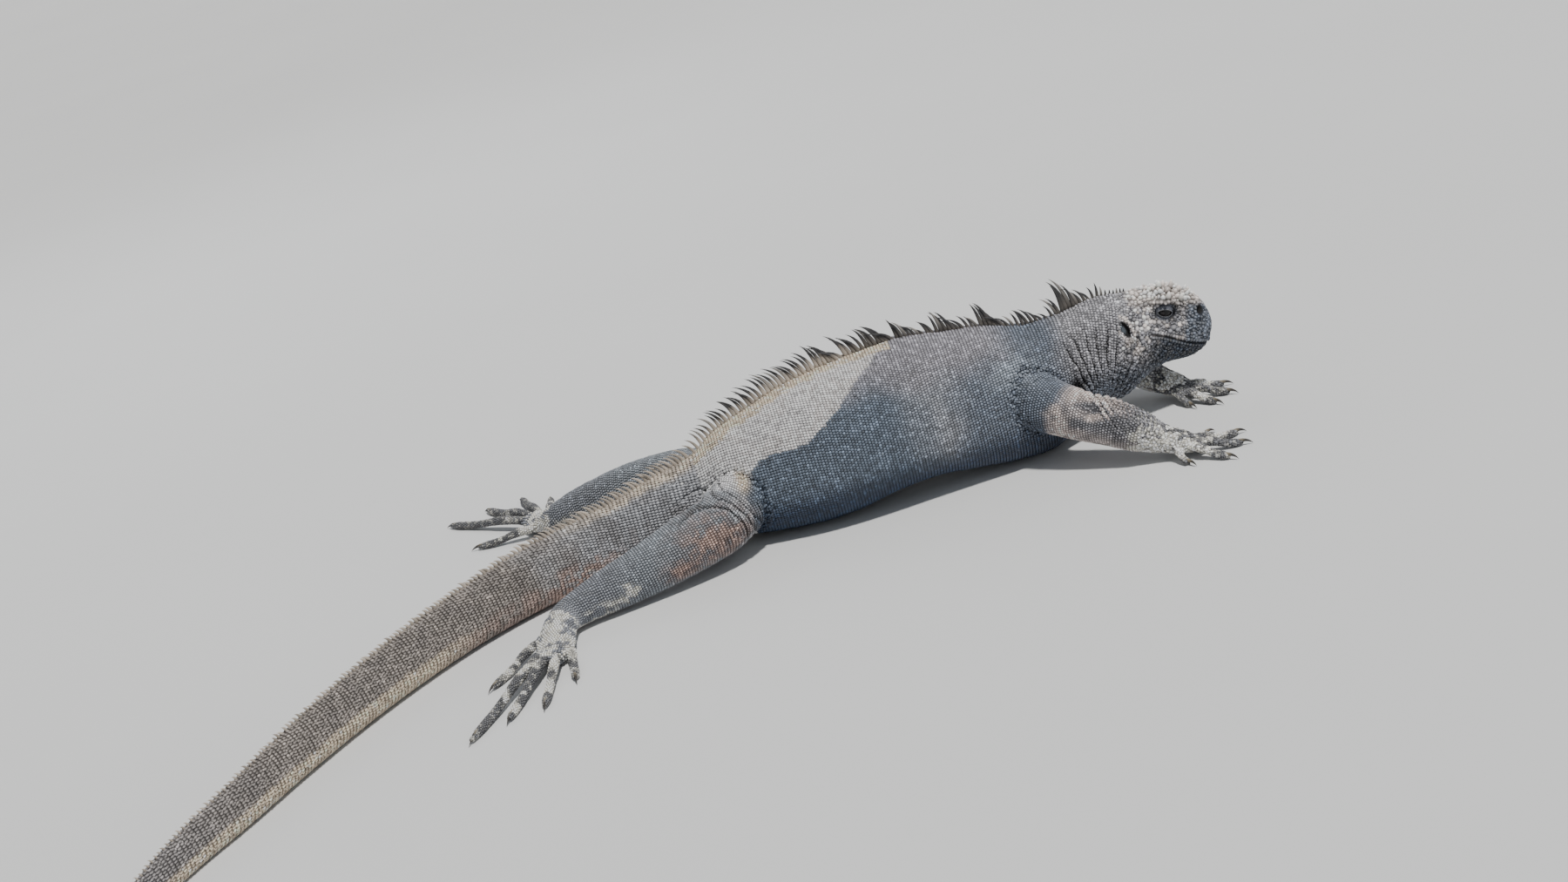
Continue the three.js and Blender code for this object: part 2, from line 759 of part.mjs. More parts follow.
const FORE_RIGHT = {
  rows: [
    [138, -14, 43, 16, 18],
    [150, -34, 37, 15.5, 17],
    [165, -50, 31, 14, 15.2],
    [181, -63, 25, 12.8, 14],
    [193, -71, 18.4, 12.2, 12],
    [205, -77.5, 12.2, 9.2, 8.6],
    [214, -82, 8.8, 9.6, 6.2],
    [222, -86, 6.0, 7.6, 4.4],
    [227, -88, 4.6, 3.2, 2.4],
  ],
  names: ["upper_arm_right", "forearm_right", "hand_right"],
  cuts: [3, 5],
  digits: [
    [[208, -88, 6.2], [216, -104], 2.4],
    [[217, -89.5, 6.6], [238.5, -112], 2.65],
    [[221, -86.5, 6.8], [251.5, -95], 2.7],
    [[220, -82, 6.6], [253, -75], 2.65],
    [[214, -76, 6.2], [238, -60], 2.4],
  ],
};

const FORE_LEFT = {
  rows: [
    [138, 14, 43, 16, 18],
    [153, 33, 38, 15.5, 16.6],
    [173, 41, 33.5, 14, 14.4],
    [193, 41.5, 29, 12.8, 13],
    [211, 31, 21, 12.2, 11.2],
    [226, 17, 12, 9.2, 8.2],
    [233, 9.5, 8.6, 9.6, 6.2],
    [238.5, 3, 6.0, 7.6, 4.4],
    [241.5, -1, 4.6, 3.2, 2.4],
  ],
  names: ["upper_arm_left", "forearm_left", "hand_left"],
  cuts: [3, 5],
  digits: [
    [[236, 12, 6.2], [254.5, 21], 2.4],
    [[239, 8, 6.6], [266.5, 4], 2.65],
    [[239, 3, 6.8], [265, -14], 2.7],
    [[235, 0, 6.6], [253, -25], 2.65],
    [[230, 2, 6.2], [238, -19], 2.4],
  ],
};

const HIND_RIGHT = {
  rows: [
    [-27, -12, 34, 18, 18],
    [-46, -35, 27, 18.4, 19],
    [-71, -46, 22.6, 15.8, 17.6],
    [-95, -53, 18.4, 13.2, 15.4],
    [-118, -58, 15, 11.8, 13.2],
    [-136, -63, 12.6, 10.0, 10.8],
    [-148.5, -70, 10.4, 9.6, 9.0],
    [-154, -84, 7.6, 11.0, 7.0],
    [-156, -99, 5.8, 11.6, 5.6],
    [-158, -110, 5.0, 8.2, 4.2],
    [-160, -114, 4.2, 3.6, 2.4],
  ],
  names: ["thigh_right", "shin_right", "foot_right"],
  cuts: [3, 6],
  digits: [
    [[-147, -101, 6.2], [-146, -144], 2.65],
    [[-154, -106, 6.8], [-165, -168], 2.75],
    [[-160, -107, 7.2], [-186, -171], 2.8],
    [[-164, -103, 7.0], [-207, -183], 2.8],
    [[-163, -80, 6.4], [-197, -121], 2.65],
  ],
};

const HIND_LEFT = {
  rows: [
    [-27, 12, 34, 18, 18],
    [-46, 37, 31, 16.6, 17.4],
    [-71, 56, 29.5, 14.4, 16.4],
    [-96, 72, 26.5, 12.2, 14.2],
    [-118, 82, 22, 11.2, 12.4],
    [-136, 91, 17.5, 9.6, 10.2],
    [-148.5, 98, 12.4, 8.6, 8.8],
    [-157, 108, 8.2, 9.6, 7.0],
    [-164, 119, 5.8, 10.8, 5.6],
    [-169, 127, 5.0, 7.6, 4.2],
    [-171, 130, 4.2, 3.4, 2.4],
  ],
  names: ["thigh_left", "shin_left", "foot_left"],
  cuts: [3, 6],
  digits: [
    [[-156.5, 126, 6.2], [-157, 170], 3.0],
    [[-163, 128, 6.8], [-178, 186], 3.2],
    [[-168, 127, 7.2], [-203, 184], 3.3],
    [[-171, 122, 7.0], [-229, 175], 3.3],
    [[-163.5, 105, 6.4], [-211, 116], 3.0],
  ],
};

// The trunk and the start of the tail, a gap larger all round: what a limb's root is cut back to.
function trunkClearance() {
  const trunk = places(NECK_END_X + 14, VENT_X, 8).map(trunkSection);
  const tail = places(8, 64, 8).map(tailSection);
  return loft([...trunk, ...tail].map((section) => ringOf(section, BODY_SIDES, GAP)));
}

function makeLimb(limb, clearance) {
  const stations = limbStations(limb.rows, 2);
  const [first, second] = limb.cuts;
  const last = limb.rows.length - 1;
  const upper = limbPart(stations, 0, first, LIMB_SIDES, false).subtract(clearance);
  const lower = limbPart(stations, first, second, LIMB_SIDES, false);
  const pad = limbPart(stations, second, last, LIMB_SIDES, true);
  const digits = limb.digits.flatMap(([knuckle, tip, thick]) =>
    digit(point(...knuckle), point(tip[0], tip[1], 0), thick),
  );
  return [largest(upper), lower, largest(joined([pad, ...digits]))];
}

// The whole animal

const model = new THREE.Group();
model.position.set(-CENTRE_X, -CENTRE_Y, 0);

function addPart(name, made, look) {
  const mesh = made.getMesh();
  const geometry = new THREE.BufferGeometry();
  const points = new THREE.BufferAttribute(new Float32Array(mesh.vertProperties), mesh.numProp);
  geometry.setAttribute("position", points);
  geometry.setIndex(new THREE.BufferAttribute(new Uint32Array(mesh.triVerts), 1));
  geometry.computeVertexNormals();
  const part = new THREE.Mesh(geometry, new THREE.MeshStandardMaterial(COLOURS[look]));
  part.name = name;
  model.add(part);
}

addPart("head", makeHead(), "head");
addPart("eye_right", eyeBall(1, EYE_RADIUS), "eye");
addPart("eye_left", eyeBall(-1, EYE_RADIUS), "eye");
addPart("neck", makeNeck(), "slate");
addPart("torso", makeTorso(), "wet");

const tailEnds = [0, ...TAIL_CUTS, TAIL_LENGTH];
TAIL_CUTS.concat(TAIL_LENGTH).forEach((end, i) => {
  const last = end === TAIL_LENGTH;
  const made = makeTail(tailEnds[i] + GAP / 2, last ? end : end - GAP / 2, last);
  addPart(`tail_${i + 1}`, made, "tail");
});

const clearance = trunkClearance();
for (const limb of [FORE_RIGHT, FORE_LEFT, HIND_RIGHT, HIND_LEFT]) {
  const looks = ["slate", "slate", "hand"];
  makeLimb(limb, clearance).forEach((made, i) => addPart(limb.names[i], made, looks[i]));
}

const animal = new THREE.Group();
animal.add(model);

export default animal;
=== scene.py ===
# A marine iguana at life size, lying flat with its head raised: skin, scales, crest, eyes and claws.

import math

import bpy
import numpy as np
from mathutils import Matrix, Vector
from mathutils.bvhtree import BVHTree
from mathutils.kdtree import KDTree


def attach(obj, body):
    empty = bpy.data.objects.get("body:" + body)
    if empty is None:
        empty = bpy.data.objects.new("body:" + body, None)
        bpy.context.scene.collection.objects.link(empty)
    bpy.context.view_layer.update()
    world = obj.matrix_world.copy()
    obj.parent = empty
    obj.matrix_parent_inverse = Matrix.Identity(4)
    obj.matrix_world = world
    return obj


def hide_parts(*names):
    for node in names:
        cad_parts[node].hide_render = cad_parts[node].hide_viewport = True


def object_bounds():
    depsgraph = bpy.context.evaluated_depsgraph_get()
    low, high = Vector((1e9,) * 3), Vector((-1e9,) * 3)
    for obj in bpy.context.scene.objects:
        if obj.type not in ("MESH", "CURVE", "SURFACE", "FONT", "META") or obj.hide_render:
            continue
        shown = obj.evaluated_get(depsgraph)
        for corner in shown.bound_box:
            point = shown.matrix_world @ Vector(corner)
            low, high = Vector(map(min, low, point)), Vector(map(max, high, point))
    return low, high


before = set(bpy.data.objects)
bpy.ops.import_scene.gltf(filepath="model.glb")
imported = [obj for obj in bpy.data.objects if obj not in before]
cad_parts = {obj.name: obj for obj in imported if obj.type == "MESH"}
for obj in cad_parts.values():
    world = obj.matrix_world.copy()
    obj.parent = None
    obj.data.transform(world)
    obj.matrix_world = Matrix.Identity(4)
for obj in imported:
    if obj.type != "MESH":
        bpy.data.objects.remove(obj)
cad_box = [list(corner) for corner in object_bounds()]

# Sizes: the tables are in millimetres, with the head along +X, the right side on -Y and the floor at 0
MM = 0.001
OFFSET = np.array([62.59, 82.94, 0.0])  # from the tables' origin to the middle of the whole outline

BOX_LOW, BOX_HIGH = (np.array(corner) / MM - OFFSET for corner in cad_box)

COAT = 0.5  # the skin lies this far inside the solids, and the scales fill the rest
VENT_X = -55.0
TAIL_LENGTH = 530.0
EAR = np.array([209.5, 0.0, 54.7])
HEAD_PITCH = 18.0
HEAD_ROLL = 8.0
HEAD_END_U = -6.0
TAIL_MIDDLE = 0.42

# On the head, u runs forwards and v upwards from the ear. A shape has u, v and its two half-sizes
EYE_U, EYE_V, EYE_RADIUS, EYE_SUNK = 21.4, 12.4, 4.8, 4.0
LID_LONG, LID_HIGH = 6.7, 5.1
EYE_SHAPE = (EYE_U, EYE_V, LID_LONG, LID_HIGH)
OPENING_LONG, OPENING_ABOVE, OPENING_BELOW = 4.2, 1.8, 2.2
NOSTRIL = (43.0, 13.6, 2.3, 2.8)
EAR_CUP = (-2.6, 2.4, 2.5, 5.2)
EAR_LEAN = 32
MOUTH_CORNER_U, MOUTH_CORNER_V = 12.5, -0.6
MOUTH_FRONT_U, MOUTH_FRONT_V, MOUTH_LEVEL_U = 51.2, -6.0, 44.0
CLAW_LENGTH = 8.0

TRUNK_ROW, TRUNK_STEP = 1.8, 1.6  # trunk scales: between rows, and round each row
WHORL, WHORL_STEP = (2.3, 3.2), 1.6  # the same on the tail, where the rows grow wider behind the hips
NECK_ROW, NECK_STEP, LIMB_ROW, DIGIT_ROW = 1.6, 1.6, 1.6, 1.45

NAPE_X = 207  # the crest begins here
SHOULDER_X, NECK_END_X = 172, 230  # the neck's pebbles lie between these, and the trunk's scales behind them
TAIL_SPINES = 165

BODY_SIDES, LIMB_SIDES, DIGIT_SIDES = 96, 48, 24  # points round the tubes
STATIONS_PER_ROW = 8  # a limb's or digit's rings for each row of its table

MERGE_VOXEL, QUICK_VOXEL = 0.75, 0.95
FLOOR_GAP = 0.02  # skin, scales and claws stay this far above the floor
PIECE_TRIANGLES = 190000  # no piece has more
PATCH_HALF = 0.0014  # half the width of one scale's patch on the OFBake map
HEAD_TRIES, GAP_TRIES = 52000, 130000  # random places tried for scales on the head and in the folds

# Head: u, top, bottom, middle, half-width, roundness above and below
HEAD_ROWS = [
    [52.2, 6.8, -0.6, 3.0, 2.8, 1.0, 1.0],
    [51.4, 9.4, -3.8, 2.6, 6.6, 0.95, 0.95],
    [50.0, 12.2, -7.4, 2.2, 9.0, 0.9, 0.9],
    [47.0, 17.0, -11.2, 2.0, 11.6, 0.88, 0.9],
    [42.4, 21.2, -14.4, 1.8, 13.4, 0.9, 0.92],
    [36, 24.2, -16.8, 1.5, 14.8, 0.9, 0.95],
    [29, 25.7, -18.4, 1.0, 16.0, 0.88, 1.0],
    [22, 26.0, -21.6, 0.0, 17.2, 0.86, 1.05],
    [15, 25.3, -27.0, -1.5, 18.4, 0.88, 1.15],
    [8, 24.2, -35.0, -4.0, 20.0, 0.9, 1.2],
    [1, 22.8, -40.5, -6.5, 20.2, 0.95, 1.2],
    [-7, 21.4, -42.0, -8.0, 19.4, 1.0, 1.15],
]

# Neck and trunk: x, middle z, pitch, roll, above, below, half-width, roundness above and below
TRUNK_ROWS = [
    [190, 46.5, -12, 5, 32.6, 37.0, 20.0, 1.05, 1.1],
    [177.5, 42.5, -7, 3, 34.2, 36.5, 23.5, 1.1, 1.0],
    [166, 39.5, -3, 1, 35.8, 36.5, 28.5, 1.1, 0.9],
    [152, 36.5, 0, 0, 39.5, 38.0, 34.0, 1.08, 0.8],
    [132, 36, 0, 0, 46.2, 37.5, 38.5, 1.05, 0.78],
    [106, 37, 0, 0, 49.6, 35.0, 41.5, 1.05, 0.8],
    [81, 39, 0, 0, 51.6, 33.5, 44.5, 1.05, 0.8],
    [55, 38, 0, 0, 51.6, 34.0, 46.5, 1.05, 0.8],
    [30, 36, 0, 0, 51.4, 36.5, 46.0, 1.05, 0.78],
    [8, 34, 0, 0, 49.6, 35.5, 43.0, 1.08, 0.78],
    [-15, 31, 0, 0, 45.6, 31.0, 36.5, 1.1, 0.8],
    [-38, 28, 0, 0, 40.6, 25.5, 29.5, 1.12, 0.82],
]

# Tail: distance from the vent, height, half-width, roundness above and below
TAIL_ROWS = [
    [0, 58.0, 23.5, 1.12, 0.82],
    [25, 52.0, 19.5, 1.12, 0.8],
    [60, 43.0, 16.0, 1.15, 0.8],
    [110, 38.5, 13.4, 1.18, 0.8],
    [160, 35.0, 11.6, 1.2, 0.8],
    [230, 31.6, 9.8, 1.2, 0.8],
    [300, 28.4, 8.3, 1.2, 0.8],
    [370, 24.6, 6.8, 1.2, 0.8],
    [430, 19.5, 5.2, 1.15, 0.8],
    [490, 12.0, 3.5, 1.1, 0.85],
    [530, 3.0, 1.2, 1.0, 0.9],
]

# Tail's course over the floor, seen from above
TAIL_COURSE = [
    [-38, 0], [-55, 0], [-70, 0], [-88, 0.6], [-108, 0.4], [-130, -2.5],
    [-155, -11], [-182, -26], [-210, -47], [-240, -76], [-270, -111], [-300, -152],
    [-328, -195], [-354, -232], [-375, -269], [-386, -312], [-390, -350], [-384, -385],
]

# Swellings and hollows of both cheeks: u, v, spread along u, spread along v, height
FACE_RELIEF = [
    [22, 18.2, 6.0, 2.2, 1.6],
    [21.4, 11.8, 5.5, 3.6, -1.2],
    [11, -3, 7.0, 7.0, 1.3],
    [32, 10, 4.5, 4.0, -1.1],
    [42.5, 14.0, 3.6, 3.4, 1.3],
    [1, -18, 6.0, 7.0, 1.2],
]

# Length of the crest's spines along the back, in tufts as on the living animal
CREST_LENGTHS = [
    [207, 3], [203.5, 3.5], [200, 3], [196, 4.5], [192.5, 10], [189, 8.5], [187, 11], [182, 17.5], [178, 21],
    [174, 17], [170, 10], [166, 8], [162, 10], [156, 12], [149, 8], [141, 15], [133, 14], [125, 9],
    [117, 13], [108, 13], [98, 9], [85, 12], [72, 17], [60, 15],
    [45, 18], [30, 17], [10, 17], [-10, 16], [-30, 14], [-50, 12],
    [-80, 9.5], [-120, 8], [-200, 6.5], [-400, 5], [-540, 3],
]

# No spine reaches above this height
CREST_TOP = 104.2

# Where the neck's folds run together at the foot of the neck: x and z
FOLD_FOOT = (185.1, 7.0)

# The middle of the rings of creases round a thigh's root: x and z
HIP = (-57.0, 20.0)

# Cakes of dried salt on hands and feet: x, y, z and radius
CAKES = [
    [195, -72, 17, 7], [202, -77, 13, 7.5], [209, -82, 10, 7], [214, -90, 7, 6], [218, -98, 4, 5],
    [232, -72, 7, 4], [239, -70, 5, 3.5],
    [-156, -86, 9, 7], [-157, -95, 8, 6.5], [-148, -97, 6, 4.5], [-144, -104, 6, 5], [-147, -116, 4, 5],
    [-150, -131, 3, 4], [-159, -104, 7, 3.5], [-158, -128, 4, 4.5], [-161, -146, 4, 5], [-185, -107, 4, 4],
    [-180, -158, 4, 4], [-107, -70, 14, 4.5], [-113, -72, 9, 4.5], [-120, -72, 10, 3.5],
    [-157, 105, 9, 7], [-165, 115, 7, 6.5], [-160, 130, 6, 5], [-185, 150, 4, 4],
    [222, 22, 16, 7], [233, 10, 10, 7], [248, 6, 5, 5],
]

# Where the crest's spines lean together into tufts
TUFTS = [39, 70, 88, 112, 139, 158, 183]

# Limbs: x, y, z, half-width and half-height
FORE_RIGHT = [
    [138, -14, 43, 16, 18], [150, -34, 37, 15.5, 17], [165, -50, 31, 14, 15.2],
    [181, -63, 25, 12.8, 14], [193, -71, 18.4, 12.2, 12], [205, -77.5, 12.2, 9.2, 8.6],
    [214, -82, 8.8, 9.6, 6.2], [222, -86, 6.0, 7.6, 4.4], [227, -88, 4.6, 3.2, 2.4],
]
FORE_LEFT = [
    [138, 14, 43, 16, 18], [153, 33, 38, 15.5, 16.6], [173, 41, 33.5, 14, 14.4],
    [193, 41.5, 29, 12.8, 13], [211, 31, 21, 12.2, 11.2], [226, 17, 12, 9.2, 8.2],
    [233, 9.5, 8.6, 9.6, 6.2], [238.5, 3, 6.0, 7.6, 4.4], [241.5, -1, 4.6, 3.2, 2.4],
]
HIND_RIGHT = [
    [-27, -12, 34, 18, 18], [-46, -35, 27, 18.4, 19], [-71, -46, 22.6, 15.8, 17.6],
    [-95, -53, 18.4, 13.2, 15.4], [-118, -58, 15, 11.8, 13.2], [-136, -63, 12.6, 10.0, 10.8],
    [-148.5, -70, 10.4, 9.6, 9.0], [-154, -84, 7.6, 11.0, 7.0], [-156, -99, 5.8, 11.6, 5.6],
    [-158, -110, 5.0, 8.2, 4.2], [-160, -114, 4.2, 3.6, 2.4],
]
HIND_LEFT = [
    [-27, 12, 34, 18, 18], [-46, 37, 31, 16.6, 17.4], [-71, 56, 29.5, 14.4, 16.4],
    [-96, 72, 26.5, 12.2, 14.2], [-118, 82, 22, 11.2, 12.4], [-136, 91, 17.5, 9.6, 10.2],
    [-148.5, 98, 12.4, 8.6, 8.8], [-157, 108, 8.2, 9.6, 7.0], [-164, 119, 5.8, 10.8, 5.6],
    [-169, 127, 5.0, 7.6, 4.2], [-171, 130, 4.2, 3.4, 2.4],
]

# Digits: knuckle, tip on the floor, half-thickness
DIGITS = {
    "fore_right": [
        [[208, -88, 6.2], [216, -104], 2.4], [[217, -89.5, 6.6], [238.5, -112], 2.65],
        [[221, -86.5, 6.8], [251.5, -95], 2.7], [[220, -82, 6.6], [253, -75], 2.65],
        [[214, -76, 6.2], [238, -60], 2.4],
    ],
    "fore_left": [
        [[236, 12, 6.2], [254.5, 21], 2.4], [[239, 8, 6.6], [266.5, 4], 2.65],
        [[239, 3, 6.8], [265, -14], 2.7], [[235, 0, 6.6], [253, -25], 2.65],
        [[230, 2, 6.2], [238, -19], 2.4],
    ],
    "hind_right": [
        [[-147, -101, 6.2], [-146, -144], 2.65], [[-154, -106, 6.8], [-165, -168], 2.75],
        [[-160, -107, 7.2], [-186, -171], 2.8], [[-164, -103, 7.0], [-207, -183], 2.8],
        [[-163, -80, 6.4], [-197, -121], 2.65],
    ],
    "hind_left": [
        [[-156.5, 126, 6.2], [-157, 170], 2.65], [[-163, 128, 6.8], [-178, 186], 2.75],
        [[-168, 127, 7.2], [-203, 184], 2.8], [[-171, 122, 7.0], [-229, 175], 2.8],
        [[-163.5, 105, 6.4], [-211, 116], 2.65],
    ],
}

FLESH = ["head", "neck", "torso", "tail_1", "tail_2", "tail_3", "tail_4"] + [
    f"{part}_{side}"
    for part in ("upper_arm", "forearm", "hand", "thigh", "shin", "foot")
    for side in ("right", "left")
]
HEAD, TRUNK, TAIL, ARM, LEG, HAND, FOOT, DIGIT = range(8)

# From where to where the own coordinate of each of these kinds runs
SPANS = [(HEAD_END_U, 55), (VENT_X, NECK_END_X), (0, TAIL_LENGTH), (0, 9), (0, 11), (0, 9), (0, 11), (0, 5)]

# Colours of the rubbed tops, as a painter would name them; lower on each scale they are darkened by painted
# shade
DRY = (240, 235, 234)
DRY_LOW = (240, 241, 244)
DRY_GREY = (230, 228, 231)
CREAM = (238, 219, 194)
WET = (105, 118, 135)
SLATE = (103, 114, 131)
# painted shade under the wet belly
BELLY_SHADE = (42, 62, 90)
BROWN = (156, 154, 163)
SHOULDER = (158, 168, 180)
NECK = (166, 165, 171)
# painted shade under the neck and jaw
THROAT_SHADE = (100, 108, 122)
CHEEK = (136, 135, 141)
HEAD_PALE = (244, 232, 225)
HEAD_DARK = (66, 68, 76)
SNOUT = (84, 93, 108)
# painted shade under the lip's overhang
CHIN_SHADE = (22, 38, 57)
# painted shade in the ear, the nostril and the mouth's slit
HOLLOW_SHADE = (18, 18, 22)
EAR_DRUM = (128, 140, 152)
# painted shade in folds and creases
FURROW_SHADE = (26, 28, 36)
TAIL_GREY = (176, 178, 184)
TAIL_BROWN = (150, 141, 135)
TAIL_DARK = (112, 106, 106)
TAIL_END = (132, 133, 141)
RUST = (194, 162, 150)
RUST_DARK = (112, 90, 86)
TAN = (248, 230, 222)
ARM_GREY = (138, 138, 145)
LEG_GREY = (140, 148, 157)
SHIN = (122, 126, 136)
FINGER = (84, 86, 92)
CRUST = (252, 248, 236)
LID = (96, 101, 116)
LID_EDGE = (104, 106, 114)
SPINE_DARK = (34, 35, 40)
SPINE_GREY = (124, 120, 116)
SPINE_PALE = (186, 174, 160)
CLAW_ROOT = (150, 140, 120)
CLAW_END = (40, 36, 34)
EYE_RIM = (14, 14, 18)
IRIS = (30, 26, 28)
PUPIL = (5, 5, 6)

rng = np.random.default_rng(20261)


# Small helpers

def linear(colour):
    """A colour given as three numbers from 0 to 255, as Blender's linear values."""
    share = np.asarray(colour, float) / 255
    return np.where(share <= 0.04045, share / 12.92, ((share + 0.055) / 1.055) ** 2.4)


def unit(vectors):
    """Vectors brought to length 1."""
    return vectors / (np.linalg.norm(vectors, axis=-1, keepdims=True) + 1e-12)


def step(low, high, values):
    """0 below low, 1 above high, and a smooth rise between."""
    share = np.clip((np.asarray(values, float) - low) / (high - low), 0, 1)
    return share * share * (3 - 2 * share)


def hill(values, middle, spread):
    """A smooth hill of height 1 at the middle."""
    return np.exp(-(((values - middle) / spread) ** 2))


def mix(first, second, share):
    """The first value at a share of 0, the second at 1, and between them in between."""
    return first * (1 - share) + second * share


def from_back(turn):
    """How far round from the back a turn is, on either side: 0 on the back, 0.5 under the belly."""
    return np.minimum(turn, 1 - turn)


def joined(*sets):
    """Several sets of named arrays as one, end to end."""
    return {key: np.concatenate([one[key] for one in sets]) for key in sets[0]}


def picked(roots, keep):
    """Some rows of a set of named arrays."""
    return {key: value[keep] for key, value in roots.items()}


def tree_of(points):
    """A tree for finding the nearest of some points."""
    tree = KDTree(len(points))
    for i, point in enumerate(points.tolist()):
        tree.insert(point, i)
    tree.balance()
    return tree


def nearest_away(points, others):
    """Distance from each point to the nearest of the others."""
    tree = tree_of(others)
    return np.array([tree.find(point)[2] for point in points.tolist()])


def nearest_on(surface, points):
    """The nearest spot of a surface to each point, that spot's face, and the distance."""
    hits = [surface.find_nearest(point) for point in points.tolist()]
    return tuple(np.array([hit[k] for hit in hits]) for k in (0, 2, 3))


def smooth_value(rows, column, places):
    """A table's column at some places: a cubic curve whose slope at each row comes from its neighbours."""
    table = np.array(sorted(rows, key=lambda row: row[0]), float)
    keys, values = table[:, 0], table[:, column]
    last = len(keys) - 1
    after = np.minimum(np.arange(last + 1) + 1, last)
    before = np.maximum(np.arange(last + 1) - 1, 0)
    slopes = (values[after] - values[before]) / (keys[after] - keys[before])
    at = np.clip(places, keys[0], keys[-1])
    i = np.clip(np.searchsorted(keys, at, side="left") - 1, 0, last - 1)
    span = keys[i + 1] - keys[i]
    t = (at - keys[i]) / span
    rise = values[i] * (1 + 2 * t) * (1 - t) ** 2 + values[i + 1] * t * t * (3 - 2 * t)
    return rise + slopes[i] * span * t * (1 - t) ** 2 + slopes[i + 1] * span * t * t * (t - 1)


def lattice_noise(points, size, seed):
    """Smooth noise from 0 to 1: random values on a cubic lattice of the given size, blended in between."""
    at = points / size
    low = np.floor(at).astype(np.int64)
    t = at - low
    t = t * t * (3 - 2 * t)
    total = np.zeros(len(points))
    for corner in range(8):
        bits = np.array([corner & 1, (corner >> 1) & 1, (corner >> 2) & 1])
        cell = low + bits
        mixed = cell[:, 0] * 73856093 ^ cell[:, 1] * 19349663 ^ cell[:, 2] * 83492791 ^ seed * 2654435
        mixed = (mixed * 1103515245 + 12345) & 0x7FFFFFFF
        mixed = ((mixed >> 7) * 69069 + 5) & 0xFFFFFF
        weight = np.prod(np.where(bits, t, 1 - t), axis=1)
        total += weight * mixed / 0xFFFFFF
    return total


def curve_through(points, places):
    """Points on the centripetal Catmull-Rom curve through a list, at places counted in its rows."""
    rows = np.asarray(points, float)
    padded = np.concatenate([[2 * rows[0] - rows[1]], rows, [2 * rows[-1] - rows[-2]]])
    i = np.clip(np.floor(places).astype(int), 0, len(rows) - 2)
    t = (places - i)[:, None]
    p0, p1, p2, p3 = (padded[i + k] for k in range(4))
    pairs = ((p0, p1), (p1, p2), (p2, p3))
    d0, d1, d2 = (np.linalg.norm(b - a, axis=1, keepdims=True) ** 0.5 for a, b in pairs)
    m1 = ((p1 - p0) / d0 - (p2 - p0) / (d0 + d1) + (p2 - p1) / d1) * d1
    m2 = ((p2 - p1) / d1 - (p3 - p1) / (d1 + d2) + (p3 - p2) / d2) * d1
    return p1 + m1 * t + (-3 * p1 + 3 * p2 - 2 * m1 - m2) * t**2 + (2 * p1 - 2 * p2 + m1 + m2) * t**3


# Sections of the body: arrays of centres, axes and sizes, one entry for each station

def section_axes(forward, roll):
    """Right and up axes across a forward direction, rolled so that the right side turns up."""
    right = unit(np.cross(forward, [0.0, 0.0, 1.0]))
    up = unit(np.cross(right, forward))
    turn = np.radians(roll)[:, None]
    return right * np.cos(turn) + up * np.sin(turn), up * np.cos(turn) - right * np.sin(turn)


HEAD_FORWARD = np.array([math.cos(math.radians(HEAD_PITCH)), 0, -math.sin(math.radians(HEAD_PITCH))])
head_axes = section_axes(HEAD_FORWARD[None, :], np.array([HEAD_ROLL]))
HEAD_RIGHT, HEAD_UP = head_axes[0][0], head_axes[1][0]


def head_point(u, v, r):
    """Points of the head: u forwards, v upwards and r to the right from the middle between the ears."""
    parts = ((u, HEAD_FORWARD), (v, HEAD_UP), (r, HEAD_RIGHT))
    forward, up, right = (np.asarray(value, float)[..., None] * axis for value, axis in parts)
    return EAR + forward + up + right


def head_place(points):
    """The u, v and r of points."""
    offset = points - EAR
    return offset @ HEAD_FORWARD, offset @ HEAD_UP, offset @ HEAD_RIGHT


def as_sections(centre, axes, reaches, local, u=np.nan, middle=0.0):
    """Sections as named arrays. Axes are right and up, and reaches above, below, side and both powers."""
    made = dict(zip(("above", "below", "side", "top_power", "bottom_power"), reaches))
    made.update(centre=centre, right=axes[0], up=axes[1], local=local)
    made.update(u=np.broadcast_to(u, local.shape), middle=np.broadcast_to(middle, local.shape))
    return made


def head_sections(u):
    """Sections of the head, across its own forward axis."""
    top, bottom, middle, side, top_power, bottom_power = (smooth_value(HEAD_ROWS, k, u) for k in range(1, 7))
    axes = [np.tile(axis, (len(u), 1)) for axis in (HEAD_RIGHT, HEAD_UP)]
    reaches = (top - middle, middle - bottom, side, top_power, bottom_power)
    return as_sections(head_point(u, middle, np.zeros(len(u))), axes, reaches, u, u, middle)


def trunk_table():
    """The trunk's rows, run on from the head's last rows and into the tail's first."""
    back = head_sections(np.array([row[0] for row in HEAD_ROWS[-3:]], float))
    start = [
        [c[0], c[2], -HEAD_PITCH, HEAD_ROLL, above, below, side, row[5], row[6], c[1]]
        for c, above, below, side, row in zip(
            back["centre"], back["above"], back["below"], back["side"], HEAD_ROWS[-3:]
        )
    ]
    end = [
        [VENT_X - d, h * TAIL_MIDDLE, 0, 0, h * (1 - TAIL_MIDDLE), h * TAIL_MIDDLE, side, top, bottom, 0]
        for d, h, side, top, bottom in TAIL_ROWS[:2]
    ]
    return start + [row + [0] for row in TRUNK_ROWS] + end


TRUNK_TABLE = trunk_table()


def trunk_sections(x):
    """Sections of the neck and trunk at some x."""
    columns = (smooth_value(TRUNK_TABLE, k, x) for k in range(1, 10))
    z, pitch, roll, above, below, side, top, bottom, y = columns
    tilt = np.radians(pitch)
    forward = np.stack([np.cos(tilt), np.zeros(len(x)), np.sin(tilt)], axis=1)
    centre = np.stack([x, y, z], axis=1)
    return as_sections(centre, section_axes(forward, roll), (above, below, side, top, bottom), x)


